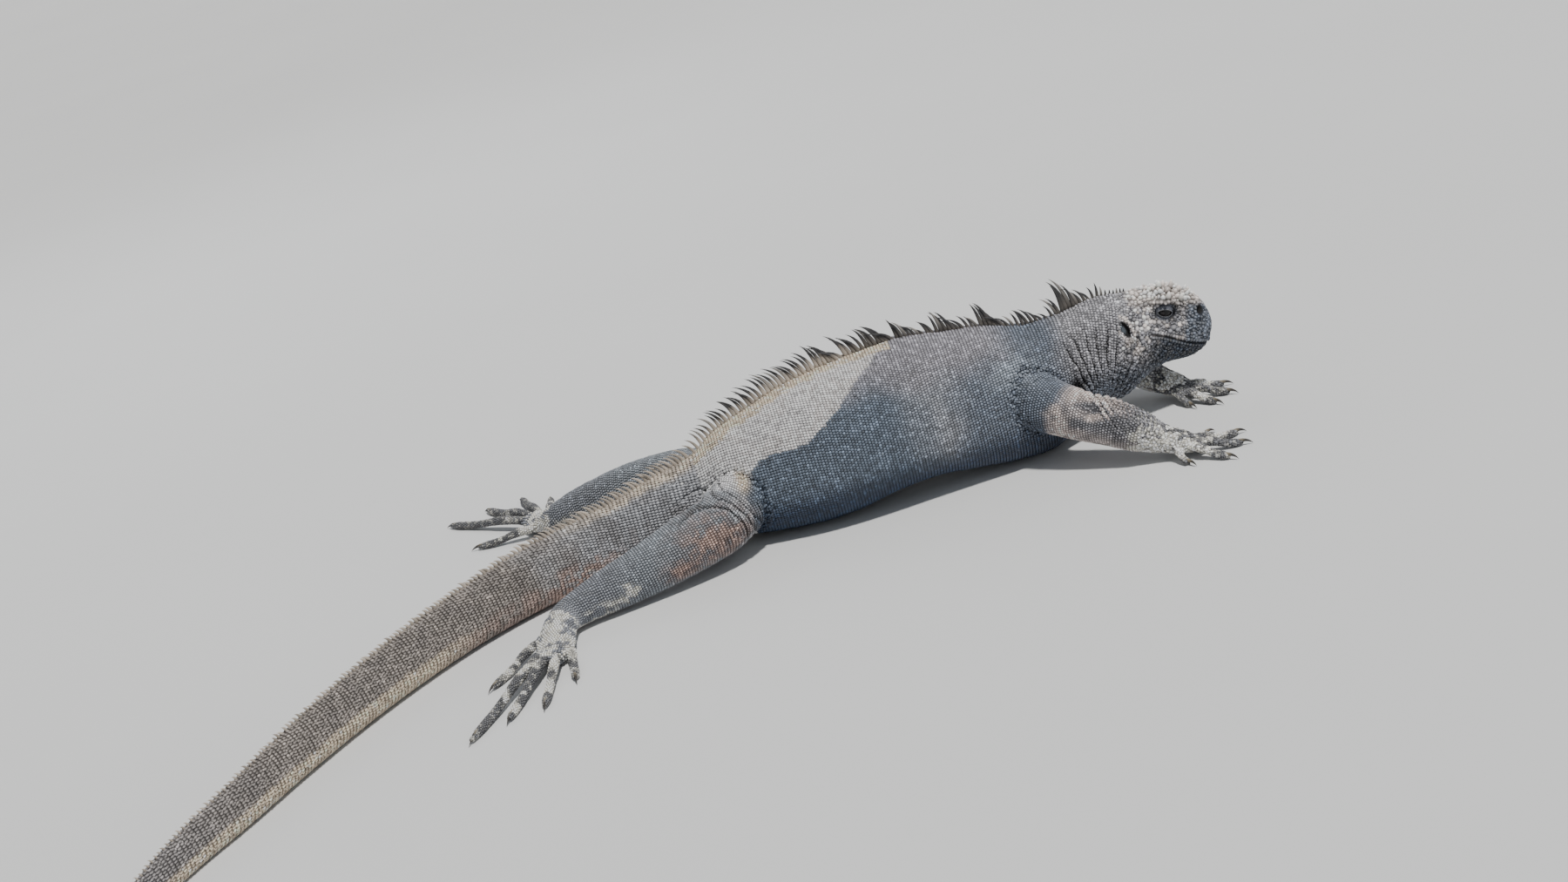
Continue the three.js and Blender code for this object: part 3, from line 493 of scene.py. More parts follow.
dense_places = np.linspace(0, len(TAIL_COURSE) - 1, 6001)
dense_course = curve_through([[x, y, 0] for x, y in TAIL_COURSE], dense_places)
dense_length = np.concatenate([[0], np.cumsum(np.linalg.norm(np.diff(dense_course, axis=0), axis=1))])


def course_at(along):
    """Places of the tail's course, seen from above, at some lengths along it."""
    return np.stack([np.interp(along, dense_length, dense_course[:, k]) for k in range(2)], axis=1)


def tail_sections(distance):
    """Sections of the tail at some distances from the vent, along its curve."""
    along = np.minimum(distance + TAIL_COURSE[0][0] - VENT_X, dense_length[-1])
    backward = course_at(along + 0.5) - course_at(along - 0.5)
    height, side, top, bottom = (smooth_value(TAIL_ROWS, k, distance) for k in range(1, 5))
    level = np.zeros((len(distance), 1))
    forward = unit(np.concatenate([-backward, level], axis=1))
    centre = np.concatenate([course_at(along), (height * TAIL_MIDDLE)[:, None]], axis=1)
    reaches = (height * (1 - TAIL_MIDDLE), height * TAIL_MIDDLE, side, top, bottom)
    return as_sections(centre, section_axes(forward, level[:, 0]), reaches, distance)


def face_relief(u, v):
    """The sum of the hills and hollows of the cheeks at u and v."""
    return sum(height * hill(u, cu, su) * hill(v, cv, sv) for cu, cv, su, sv, height in FACE_RELIEF)


def rings(sections, turns, swell=0.0):
    """Points round each section: sine across, cosine along, each reach raised to its own power."""
    across = np.sin(turns * 2 * np.pi)
    along = np.cos(turns * 2 * np.pi)
    upper = along > 0
    reach = np.where(upper, sections["above"][:, None], sections["below"][:, None]) + swell
    power = np.where(upper, sections["top_power"][:, None], sections["bottom_power"][:, None])
    height = reach * np.sign(along) * np.abs(along) ** power
    width = (sections["side"][:, None] + swell) * across
    on_head = ~np.isnan(sections["u"])
    if on_head.any():
        share = (np.minimum(np.abs(across) * 1.6, 1) * np.sign(across))[on_head]
        u = sections["u"][on_head][:, None]
        width[on_head] += share * face_relief(u, sections["middle"][on_head][:, None] + height[on_head])
    points = (
        sections["centre"][:, None, :]
        + sections["up"][:, None, :] * height[..., None]
        + sections["right"][:, None, :] * width[..., None]
    )
    points[..., 2] = np.maximum(points[..., 2], 0.0)
    return points


def cheek_width(u, v):
    """Distance from the head's middle line to its skin at u and v."""
    u, v = np.broadcast_arrays(np.asarray(u, float), np.asarray(v, float))
    top, bottom, middle, side, top_power, bottom_power = (
        smooth_value(HEAD_ROWS, k, u.ravel()).reshape(u.shape) for k in range(1, 7)
    )
    offset = v - middle
    reach = np.where(offset > 0, top - middle, middle - bottom)
    power = np.where(offset > 0, top_power, bottom_power)
    share = np.minimum(np.abs(offset) / reach, 1) ** (1 / power)
    across = np.sqrt(1 - share * share)
    return side * across + np.minimum(across * 1.6, 1) * face_relief(u, v)


# Courses: each tube of the body as a grid of points, stations by sides

def as_course(name, kind, grid, local):
    """A tube with its name, kind, grid, own coordinate, and length walked along its sides."""
    steps = np.linalg.norm(np.diff(grid, axis=0), axis=2).mean(axis=1)
    return {
        "name": name,
        "kind": np.broadcast_to(kind, (len(grid),)),
        "grid": grid,
        "local": local,
        "length": np.concatenate([[0], np.cumsum(steps)]),
    }


def body_course(swell):
    """Head, neck, trunk and tail as one tube, from the tip of the snout to the tip of the tail."""
    front = head_sections(np.array([HEAD_END_U]))["centre"][0, 0]
    snout = np.array([52.2, 52.0, 51.7, 51.4, 51.0, 50.5, 50.0, 49.2, 48.4])
    u = np.concatenate([snout, np.arange(47.6, HEAD_END_U, -0.7)])
    x = np.arange(front - 1.0, VENT_X, -1.4)
    distance = np.append(np.arange(0, TAIL_LENGTH, 1.8), TAIL_LENGTH)
    sections = joined(head_sections(u), trunk_sections(x), tail_sections(distance))
    kinds = np.repeat([HEAD, TRUNK, TAIL], [len(u), len(x), len(distance)])
    turns = np.tile(np.arange(BODY_SIDES) / BODY_SIDES, (len(kinds), 1))
    return as_course("body", kinds, rings(sections, turns, swell), sections["local"])


def finger_joints(places):
    """How much thicker a digit is at its joints than between them."""
    return 1 + 0.05 * (hill(places, 1.0, 0.3) + hill(places, 2.1, 0.3)) - 0.05 * hill(places, 1.55, 0.3)


def limb_course(name, kind, rows, sides, swell, extra=None):
    """A limb or digit as ellipses round the smooth curve through its rows."""
    places = np.linspace(0, len(rows) - 1, (len(rows) - 1) * STATIONS_PER_ROW + 1)
    middles = curve_through([row[:3] for row in rows], places)
    along = unit(np.gradient(middles, axis=0))
    numbered = [[i, row[3], row[4]] for i, row in enumerate(rows)]
    wide = smooth_value(numbered, 1, places) + swell
    high = smooth_value(numbered, 2, places) + swell
    if extra is not None:
        wide, high = wide * extra(places), high * extra(places)
    side = unit(np.cross(along, [0.0, 0.0, 1.0]))
    up = np.cross(side, along)
    angle = np.arange(sides) / sides * 2 * np.pi
    grid = (
        middles[:, None, :]
        + side[:, None, :] * (np.cos(angle)[None, :, None] * wide[:, None, None])
        + up[:, None, :] * (np.sin(angle)[None, :, None] * high[:, None, None])
    )
    grid[..., 2] = np.maximum(grid[..., 2], 0.0)
    return as_course(name, kind, grid, places)


def digit_rows(knuckle, tip, thick):
    """A digit's rows from its knuckle down to its pad, and its claw's root, bend and point."""
    knuckle, tip = np.array(knuckle, float), np.array([tip[0], tip[1], 0.0])
    flat = (tip - knuckle) * [1, 1, 0]
    reach = np.linalg.norm(flat)
    ahead = flat / reach
    length = reach - CLAW_LENGTH * 0.8
    stops = [
        (0, knuckle[2], 1.08),
        (0.34, knuckle[2] * 0.95, 1.12),
        (0.66, thick * 1.25, 0.96),
        (0.9, thick * 0.92, 0.98),
        (1.03, thick * 0.8, 0.6),
    ]
    rows = [
        [*(knuckle[:2] + ahead[:2] * length * share), z, thick * size, thick * size * 0.95]
        for share, z, size in stops
    ]
    root = np.append(knuckle[:2] + ahead[:2] * length * 0.92, thick * 1.15)
    bend = root + ahead * CLAW_LENGTH * 0.72
    bend[2] = thick * 1.5
    point = np.array([tip[0], tip[1], 0.25])
    return rows, (root, bend, point, np.array([-ahead[1], ahead[0], 0.0]), thick)


def all_courses(swell):
    """Every tube of the animal, and the claws' places."""
    courses, claws = [body_course(swell)], []
    limbs = [
        ("fore_right", ARM, HAND, FORE_RIGHT, 5),
        ("fore_left", ARM, HAND, FORE_LEFT, 5),
        ("hind_right", LEG, FOOT, HIND_RIGHT, 6),
        ("hind_left", LEG, FOOT, HIND_LEFT, 6),
    ]
    for name, kind, end_kind, rows, wrist in limbs:
        limb = limb_course(name, kind, rows, LIMB_SIDES, swell)
        limb["kind"] = np.where(limb["local"] > wrist, end_kind, kind)
        courses.append(limb)
        for number, (knuckle, tip, thick) in enumerate(DIGITS[name], 1):
            digit, claw = digit_rows(knuckle, tip, thick)
            courses.append(limb_course(f"{name}_{number}", DIGIT, digit, DIGIT_SIDES, swell, finger_joints))
            claws.append(claw)
    return courses, claws


# Meshes from arrays

def tube_faces(stations, sides):
    """Quads between neighbouring rings, and fans from an added point at each end."""
    i, j = np.arange(stations - 1)[:, None], np.arange(sides)[None, :]
    a, b = i * sides + j, i * sides + (j + 1) % sides
    quads = np.stack([a, b, b + sides, a + sides], axis=-1).reshape(-1, 4)
    j = j[0]
    first, last = stations * sides, (stations - 1) * sides
    front = np.stack([(j + 1) % sides, j, np.full(sides, first)], axis=1)
    back = np.stack([last + j, last + (j + 1) % sides, np.full(sides, first + 1)], axis=1)
    return quads, np.concatenate([front, back])


def cone_faces(stations, sides):
    """Quads between neighbouring rings, a fan to the point after the last ring, and one face as the base."""
    quads, _ = tube_faces(stations, sides)
    j = np.arange(sides)
    last = (stations - 1) * sides
    fan = np.stack([last + j, last + (j + 1) % sides, np.full(sides, last + sides)], axis=1)
    return [quads, fan, j[::-1][None, :]]


def closed_tube(grid):
    """A grid's points with a point in the middle of each end, and faces that point outwards."""
    points = np.concatenate([grid.reshape(-1, 3), grid[:1].mean(axis=1), grid[-1:].mean(axis=1)])
    quads, fans = tube_faces(*grid.shape[:2])
    triangles = np.concatenate([quads[:, [0, 1, 2]], quads[:, [0, 2, 3]], fans])
    a, b, c = (points[triangles[:, k]] for k in range(3))
    if np.einsum("ij,ij->i", a, np.cross(b, c)).sum() < 0:
        quads, fans = quads[:, ::-1], fans[:, ::-1]
    return points, quads, fans


def put_points(mesh, points):
    """Moves a mesh's points to places in the tables' millimetres."""
    mesh.vertices.foreach_set("co", ((points + OFFSET) * MM).astype(np.float32).ravel())


def new_mesh(name, points, faces, held=True):
    """A mesh object from points in the tables' millimetres and lists of faces of one size each.

    Points of the animal are held within the solids' box.
    """
    if held:
        points = np.clip(points, BOX_LOW, BOX_HIGH)
    mesh = bpy.data.meshes.new(name)
    mesh.vertices.add(len(points))
    put_points(mesh, points)
    corners = np.concatenate([part.ravel() for part in faces])
    counts = np.concatenate([np.full(len(part), part.shape[1]) for part in faces])
    mesh.loops.add(len(corners))
    mesh.loops.foreach_set("vertex_index", corners.astype(np.int32))
    mesh.polygons.add(len(counts))
    mesh.polygons.foreach_set("loop_start", np.concatenate([[0], np.cumsum(counts)[:-1]]).astype(np.int32))
    mesh.update(calc_edges=True)
    mesh.polygons.foreach_set("use_smooth", np.ones(len(counts), bool))
    thing = bpy.data.objects.new(name, mesh)
    bpy.context.scene.collection.objects.link(thing)
    return thing


def set_attribute(mesh, name, values):
    """Stores a value or a colour for each point."""
    if values.ndim == 1:
        mesh.attributes.new(name, "FLOAT", "POINT").data.foreach_set("value", values.astype(np.float32))
        return
    colours = np.concatenate([values, np.ones((len(values), 1))], axis=1).astype(np.float32)
    mesh.attributes.new(name, "FLOAT_COLOR", "POINT").data.foreach_set("color", colours.ravel())


def give(thing, look, **values):
    """Stores values by name for each point of an object, and puts a material on it."""
    for name, value in values.items():
        set_attribute(thing.data, name, value)
    thing.data.materials.append(look)


def read_rows(items, name, width, kind):
    """One property of all of a mesh's items, a row for each."""
    flat = np.empty(len(items) * width, kind)
    items.foreach_get(name, flat)
    return flat.reshape(-1, width)


def mesh_points(mesh):
    """A mesh's points in the tables' millimetres."""
    return read_rows(mesh.vertices, "co", 3, np.float32).astype(float) / MM - OFFSET


def mesh_normals(mesh):
    """A mesh's smooth normals at its points."""
    return read_rows(mesh.vertex_normals, "vector", 3, np.float32).astype(float)


def baked(thing):
    """Replaces an object's mesh by its mesh with all modifiers applied."""
    graph = bpy.context.evaluated_depsgraph_get()
    made = bpy.data.meshes.new_from_object(thing.evaluated_get(graph))
    thing.modifiers.clear()
    thing.data = made
    return made


# Skin: all the tubes merged into one closed surface, then smoothed, folded and pitted

def relaxed(points, edges, rounds, weight):
    """Moves each point towards the mean of its neighbours, as far as its weight, a few times."""
    first, second = edges[:, 0], edges[:, 1]
    count = len(points)
    links = np.bincount(first, minlength=count) + np.bincount(second, minlength=count)
    for _ in range(rounds):
        total = np.stack(
            [
                np.bincount(first, points[second, k], count) + np.bincount(second, points[first, k], count)
                for k in range(3)
            ],
            axis=1,
        )
        points = points + (total / np.maximum(links, 1)[:, None] - points) * weight[:, None]
    return points


def junction_weight(points):
    """Where limbs grow out of the body and digits out of the feet: soft balls round each joint."""
    balls = [
        (rows[1][:3], 27.0, 1.0) for rows in (FORE_RIGHT, FORE_LEFT)
    ] + [
        (rows[1][:3], 30.0, 1.0) for rows in (HIND_RIGHT, HIND_LEFT)
    ] + [
        (knuckle, 6.5, 0.6) for hand in DIGITS.values() for knuckle, _, _ in hand
    ]
    weight = np.zeros(len(points))
    for middle, radius, most in balls:
        away = np.linalg.norm(points - np.array(middle, float), axis=1)
        weight = np.maximum(weight, most * (1 - step(radius * 0.75, radius, away)))
    return weight


def mouth_level(u):
    """The mouth's line: it falls from its corner and runs level under the snout."""
    return MOUTH_CORNER_V + (MOUTH_FRONT_V - MOUTH_CORNER_V) * step(MOUTH_CORNER_U, MOUTH_LEVEL_U, u)


def ellipse(u, v, shape):
    """How far out of an ellipse a place is: 1 at its edge."""
    return np.hypot((u - shape[0]) / shape[2], (v - shape[1]) / shape[3])


def ear_away(u, v):
    """How far out of the ear's slanting slot a place is: 1 at its edge."""
    du, dv = u - EAR_CUP[0], v - EAR_CUP[1]
    lean = math.radians(EAR_LEAN)
    along = dv * math.cos(lean) - du * math.sin(lean)
    across = du * math.cos(lean) + dv * math.sin(lean)
    return np.hypot(across / EAR_CUP[2], along / EAR_CUP[3])


def pocket_share(points):
    """The hollow between neck and shoulder: 1 in its middle."""
    x, y, z = points.T
    return hill(x, 171, 7) * hill(z - 0.15 * (x - 171), 36, 4.5) * step(12, 18, np.abs(y))


def hip_folds(points):
    """The creases that ring the root of each thigh: 1 in each, dying out behind and below."""
    x, y, z = points.T
    away = np.hypot(x - HIP[0], z - HIP[1]) + (lattice_noise(points, 9.0, 5) - 0.5) * 3
    outer = 0.8 * hill(away, 25.8, 0.8) + 0.6 * hill(away, 29.4, 0.8)
    creases = hill(away, 22.0, 1.0) + step(-62, -46, x) * outer
    return creases * step(14, 20, np.abs(y)) * step(-75, -63, x) * step(8, 18, z) * (1 - step(60, 70, z))


def neck_folds(points):
    """How strong the neck's upright folds are at each point, and their wave: 0 in a furrow, 1 on a ridge."""
    x, y, z = points.T
    across, up = x - FOLD_FOOT[0], z - FOLD_FOOT[1]
    reach = np.hypot(across, up)
    angle = np.degrees(np.arctan2(across, up)) + (lattice_noise(points, 8.0, 3) - 0.5) * 3.5
    fan = step(-22, -14, angle) * (1 - step(46, 60, angle))
    strength = fan * step(10, 18, reach) * (1 - step(50, 66, reach))
    return strength * step(6, 13, np.abs(y)), np.abs(np.sin(np.pi * angle / 6.4)) ** 0.6


def join_gap(points, courses):
    """Distance to the trunk less distance to the nearest limb, and the longer of the two, for each point."""
    body = courses[0]
    trunk = body["grid"][body["kind"] != HEAD][::2, ::2].reshape(-1, 3)
    limbs = [course["grid"][:30].reshape(-1, 3) for course in courses if course["name"] in DIGITS]
    near_limb, near_trunk = nearest_away(points, np.concatenate(limbs)), nearest_away(points, trunk)
    return near_trunk - near_limb, np.maximum(near_trunk, near_limb)


def skin_relief(points, courses):
    """How far the skin is lifted along its normals: folds, lips, pits and pores."""
    x, _, z = points.T
    u, v, r = head_place(points)
    lift = np.zeros(len(points))
    warp = (lattice_noise(points, 9.0, 3) - 0.5) * 5
    fine = lattice_noise(points, 3.0, 4) - 0.5

    # Upright folds of the neck and throat, deepest low down
    neck, wave = neck_folds(points)
    lift += neck * 2.3 * (wave - 0.8)
    pouch = step(192, 200, x) * (1 - step(-16, -8, v)) * (1 - step(22, 34, u))
    slant = z * 0.75 + x * 0.55 + warp * 0.4
    lift += pouch * 1.0 * (np.abs(np.sin(np.pi * slant / 4.0)) ** 0.6 - 0.75)
    lift -= 4.5 * pocket_share(points) + 1.7 * hip_folds(points)

    # Creases where the limbs leave the trunk: a deep one at the join, and smaller ones beside it
    gap, nearest = join_gap(points, courses)
    beside = gap + warp * 0.25
    join = 1 - step(4.5, 7.5, nearest)
    crease = -1.9 * hill(beside, 0, 1.1) + 0.5 * hill(beside, 2.6, 1.2) + 0.5 * hill(beside, -2.6, 1.2)
    lift += join * crease
    lift -= join * 0.9 * (hill(beside, 5.0, 0.9) + hill(beside, -5.0, 0.9))

    # Mouth, with a roll of lip above and below
    offset = v - mouth_level(u)
    along = step(MOUTH_CORNER_U - 1.5, MOUTH_CORNER_U + 3, u)
    lips = -1.0 * hill(offset, 0, 0.45) + 0.45 * hill(offset, 1.9, 1.1) + 0.3 * hill(offset, -1.8, 1.0)
    lift += along * lips
    brow = step(11, 15, u) * (1 - step(31, 36, u))
    lift += brow * (0.9 * hill(v, 18.4, 1.2) - 0.7 * hill(v, 16.4, 0.8))
    jowl = step(-6, 0, u) * (1 - step(16, 24, u)) * step(-22, -16, v) * (1 - step(-4, 1, v))
    lift += jowl * 0.5 * (np.abs(np.sin(np.pi * (v * 0.8 + u * 0.5 + warp * 0.5) / 3.6)) ** 0.7 - 0.7)
    lift -= 0.8 * hill(u, MOUTH_CORNER_U - 1, 2.2) * hill(v, MOUTH_CORNER_V, 1.6) * (np.abs(r) > 8)

    # Nostrils, ears and eye sockets
    on_side = np.abs(r) > 5
    near = ellipse(u, v, NOSTRIL)
    lift += on_side * (-3.0 * step(1.0, 0.35, near) + 0.9 * hill(near, 1.35, 0.36))
    near = ear_away(u, v)
    rim = 1.2 * hill(near, 1.45, 0.3) * step(-1, 1, u - EAR_CUP[0])
    lift += on_side * (-2.3 * step(1.05, 0.5, near) + rim)
    near = ellipse(u, v, EYE_SHAPE)
    lift += on_side * (-3.0 * step(0.98, 0.62, near))

    lift += 0.3 * fine
    return lift


def off_floor(points):
    """Lifts points that lie on or below the floor just above it."""
    points[:, 2] = np.maximum(points[:, 2], FLOOR_GAP)
    return points


def merged_tubes(courses):
    """All the tubes as one closed mesh, merged by voxels."""
    points, faces, start = [], [], 0
    for course in courses:
        own, quads, fans = closed_tube(course["grid"])
        points.append(own)
        faces += [quads + start, fans + start]
        start += len(own)
    thing = new_mesh("skin", np.concatenate(points), faces)
    merge = thing.modifiers.new("merge", "REMESH")
    merge.mode = "VOXEL"
    merge.voxel_size = MERGE_VOXEL * MM
    baked(thing)
    return thing


def restore_head(points, u, body):
    """Brings the head's points back to its exact form, in full from a little ahead of the neck."""
    grid = body["grid"][body["kind"] == HEAD]
    surface, quads, fans = closed_tube(grid)
    front = fans[: grid.shape[1]]
    tree = BVHTree.FromPolygons(surface.tolist(), quads.tolist() + front.tolist())
    ahead = np.nonzero(u > HEAD_END_U + 1)[0]
    spot, _, away = nearest_on(tree, points[ahead])
    share = np.clip((u[ahead] - HEAD_END_U - 1) / 4, 0, 1) * (away < 2.5)
    points[ahead] += (spot - points[ahead]) * share[:, None]


def thin_out(thing, x, u):
    """Thins the skin to its share of triangles, least on the head, then the neck, and most behind."""
    weight = 1 - 0.93 * step(HEAD_END_U - 12, HEAD_END_U, u)
    weight = weight - 0.6 * step(SHOULDER_X - 12, SHOULDER_X, x) * (u < HEAD_END_U)
    weight = np.round(np.clip(weight, 0.05, 1), 1)
    group = thing.vertex_groups.new(name="thin")
    for share in np.unique(weight):
        group.add(np.nonzero(weight == share)[0].tolist(), float(share), "REPLACE")
    thin = thing.modifiers.new("thin", "DECIMATE")
    thin.ratio = min(1.0, PIECE_TRIANGLES / (2 * len(thing.data.polygons)))
    thin.vertex_group = "thin"
    thin.vertex_group_factor = 6.0
    mesh = baked(thing)
    thing.vertex_groups.clear()
    mesh.polygons.foreach_set("use_smooth", np.ones(len(mesh.polygons), bool))


def make_skin(courses):
    """The whole skin: merged, smoothed at the joins, the head made exact, then creased and thinned."""
    thing = merged_tubes(courses)
    mesh = thing.data
    edges = read_rows(mesh.edges, "vertices", 2, np.int32)
    points = mesh_points(mesh)
    points = relaxed(points, edges, 60, 0.85 * junction_weight(points))
    points = relaxed(points, edges, 3, np.full(len(points), 0.5))
    u = head_place(points)[0]
    restore_head(points, u, courses[0])
    put_points(mesh, points)
    mesh.update()
    points = off_floor(points + mesh_normals(mesh) * skin_relief(points, courses)[:, None])
    put_points(mesh, points)
    mesh.update()
    thin_out(thing, points[:, 0], u)
    return thing


# Places: which tube, station and side any point belongs to

def place_finder(courses):
    """A tree over the tubes' points, and for each point its kind, own coordinate, turn and direction."""
    points, kinds, locals_, turns, alongs = [], [], [], [], []
    for course in courses:
        grid = course["grid"]
        stations, sides = grid.shape[:2]
        points.append(grid.reshape(-1, 3))
        kinds.append(np.repeat(course["kind"], sides))
        locals_.append(np.repeat(course["local"], sides))
        turns.append(np.tile(np.arange(sides) / sides, stations))
        alongs.append(unit(np.gradient(grid, axis=0)).reshape(-1, 3))
    own = (np.concatenate(part) for part in (kinds, locals_, turns, alongs))
    return tree_of(np.concatenate(points)), *own


def found(finder, points):
    """Kind, own coordinate, turn and direction of the nearest tube point to each point."""
    tree, kinds, locals_, turns, alongs = finder
    index = np.array([tree.find(point)[1] for point in points.tolist()])
    return kinds[index], locals_[index], turns[index], alongs[index]


# Markings: one colour and wetness for each place, the same for skin and scales

# How far back the wet fore part of the trunk reaches: x at some heights
WET_EDGE_Z = [15, 42, 46.5, 52.4, 55.1, 56.9, 64, 70.2, 79.6, 88.4, 95]
WET_EDGE_X = [-31, -30, -25, -17, -7.6, 11.3, 24.4, 34.4, 48.4, 66.5, 76]


class Places:
    """Places on the animal: where they lie, their shares of each part, noises, colour and wetness."""

    def __init__(self, points, normals, kind, local, turn):
        x, y, z = points.T
        self.points, self.x, self.y, self.z = points, x, y, z
        self.u, self.v, _ = head_place(points)
        self.local, self.back, self.facing_up = local, from_back(turn), normals[:, 2]
        self.coarse = lattice_noise(points, 14.0, 11)
        self.middle = middle = lattice_noise(points, 5.0, 12)
        self.patchy = lattice_noise(points, 2.6, 13)
        self.colour = np.tile(linear(DRY), (len(points), 1))
        self.wet = np.zeros(len(points))
        self.head, self.tail, self.digit = kind == HEAD, kind == TAIL, kind == DIGIT
        self.hand, self.foot = kind == HAND, kind == FOOT
        self.trunk = (kind == TRUNK) | (kind == ARM) | (kind == LEG)
        below_shoulder = step(144, 152, x + (middle - 0.5) * 6) * (1 - step(35, 44, z + (middle - 0.5) * 8))
        self.arm = (kind == ARM) * np.maximum(below_shoulder, step(1.5, 2.2, local))
        self.leg = (kind == LEG) * step(0.35, 1.1, local + (middle - 0.5) * 0.5)

    def paint(self, tint, share):
        """Covers the colour so far with a tint, by a share for each place."""
        self.colour = mix(self.colour, linear(tint), np.clip(share, 0, 1)[:, None])


def paint_trunk(p):
    """Dry and pale behind, wet and dark in front, brown on the shoulders, cream along the crest, and painted
    shade low down on the wet belly.
    """
    paint, x, z, trunk, coarse, middle = p.paint, p.x, p.z, p.trunk, p.coarse, p.middle
    paint(DRY_LOW, trunk * (1 - step(40, 62, z)) * (1 - step(-20, 20, x)))
    paint(DRY_GREY, trunk * 0.75 * step(0.42, 0.7, coarse))
    edge = np.interp(z, WET_EDGE_Z, WET_EDGE_X) + (middle - 0.5) * 3.5
    damp = trunk * step(-0.8, 0.8, x - edge) * (x > -34)
    front = step(60, 116, x + (coarse - 0.5) * 16)
    paint(WET, damp * (1 - front))
    paint(SLATE, damp * front)
    p.wet += damp * (1 - 0.75 * front)
    top = damp * step(62, 80, z + (coarse - 0.5) * 14 + 0.1 * (x - 90)) * (1 - step(126, 150, x))
    paint(BROWN, top)
    p.wet -= 0.8 * top
    paint(SHOULDER, trunk * 0.8 * hill(x, 137, 17) * hill(z, 60, 10) * step(0.3, 0.6, middle + 0.1))
    # Painted shade low on the wet flank, under the belly
    paint(BELLY_SHADE, damp * (1 - step(14, 36, z)))
    band = 0.032 + 0.034 * hill(x, -45, 36) + (middle - 0.5) * 0.024
    paint(CREAM, trunk * (x < 74) * (1 - step(0.9, 1.15, p.back / band)))
    paint(CREAM, trunk * hill(x, -30, 3.8) * hill(z, 45, 5) * 1.2)


def paint_neck(p):
    """Grey, with painted shade on the throat below, in the furrows and in the hollow before the shoulder."""
    paint = p.paint
    neck = p.trunk * step(158, 178, p.x + (p.coarse - 0.5) * 10)
    paint(NECK, neck)
    # Painted shade low on the neck, under the throat
    paint(THROAT_SHADE, neck * (1 - step(28, 50, p.z)))
    strength, wave = neck_folds(p.points)
    # Painted shade in the furrows of the neck's folds, and below in the hollow before the shoulder
    paint(FURROW_SHADE, ~(p.digit | p.hand) * strength * (1 - step(0.4, 0.85, wave)) * 0.9)
    paint(FURROW_SHADE, p.trunk * 1.3 * pocket_share(p.points))


def paint_head(p):
    """Pale knobs on top, speckled cheeks, dark round the eye and before the nostril, and painted shade under
    the mouth, under the jaw, in the ear, in the nostril and along the mouth's slit.
    """
    paint, head, u, v, middle, patchy = p.paint, p.head, p.u, p.v, p.middle, p.patchy
    paint(CHEEK, head)
    paint(NECK, head * (1 - step(-6, 4, u)))
    crown = step(13.5, 19.5, v + (middle - 0.5) * 3)
    paint(HEAD_PALE, head * crown * step(-3, 5, u) * (1 - 0.6 * step(40, 47, u)))
    speckled = head * 0.7 * step(0.52, 0.7, patchy)
    paint(HEAD_PALE, speckled * step(-6, 0, u) * (1 - step(32, 40, u)) * step(-16, -8, v))
    speckled = head * 0.5 * (1 - step(0.34, 0.46, patchy))
    paint(HEAD_DARK, speckled * step(-10, -4, u) * (1 - 0.7 * step(14, 18, v)))
    paint(SNOUT, head * step(29, 37, u + (middle - 0.5) * 5) * (1 - step(15, 19, v)))
    paint(HEAD_DARK, head * 0.8 * hill(u, 31, 5) * hill(v, 13.5, 4.5))
    paint(HEAD_DARK, head * 0.85 * hill(ellipse(u, v, EYE_SHAPE), 0.95, 0.4))
    below = v - mouth_level(u)
    # Painted shade on the chin, under the overhang of the upper lip
    paint(CHIN_SHADE, head * step(8, 22, u) * (1 - step(-1.4, -0.2, below)))
    # Painted shade under the jaw
    paint(THROAT_SHADE, head * (1 - step(-26, -14, v)) * 0.9)
    paint(HEAD_PALE, head * 0.8 * hill(ear_away(u, v), 1.5, 0.25))
    # Painted shade in the ear's hollow, then its paler drum
    paint(HOLLOW_SHADE, head * (1 - step(0.85, 1.05, ear_away(u, v))))
    paint(EAR_DRUM, head * (1 - step(0.3, 0.75, ear_away(u + 0.9, v))))
    # Painted shade in the nostril and along the mouth's slit
    paint(HOLLOW_SHADE, head * (1 - step(0.75, 1.0, ellipse(u, v, NOSTRIL))))
    paint(HOLLOW_SHADE, head * 0.7 * step(12, 20, u) * hill(below, 0, 0.45))


def paint_tail(p):
    """Cream crest, grey sides with rust low down near the hips, then brown above a cream edge."""
    paint, tail, local, back = p.paint, p.tail, p.local, p.back
    coarse, middle, patchy = p.coarse, p.middle, p.patchy
    paint(TAIL_GREY, tail)
    paint(TAIL_BROWN, tail * step(50, 150, local + (coarse - 0.5) * 60))
    off_crest = step(0.05, 0.09, back + (middle - 0.5) * 0.03)
    paint(CREAM, tail * 0.8 * (1 - step(40, 110, local)) * (1 - off_crest))
    low = step(0.2, 0.28, back + (middle - 0.5) * 0.12)
    paint(RUST, tail * hill(local, 88, 36) * low * step(0.25, 0.6, patchy + 0.1))
    paint(RUST, tail * 0.5 * hill(local, 150, 40) * step(0.2, 0.3, back) * step(0.3, 0.6, middle))
    paint(TAIL_DARK, tail * 0.4 * step(0.5, 0.75, middle * 0.5 + coarse * 0.5) * (1 - step(0.22, 0.26, back)))
    paint(CREAM, tail * step(150, 210, local) * step(0.238, 0.262, back + (middle - 0.5) * 0.02) * 0.95)
    paint(TAIL_END, tail * 0.6 * step(300, 480, local) * (1 - step(0.22, 0.26, back)))


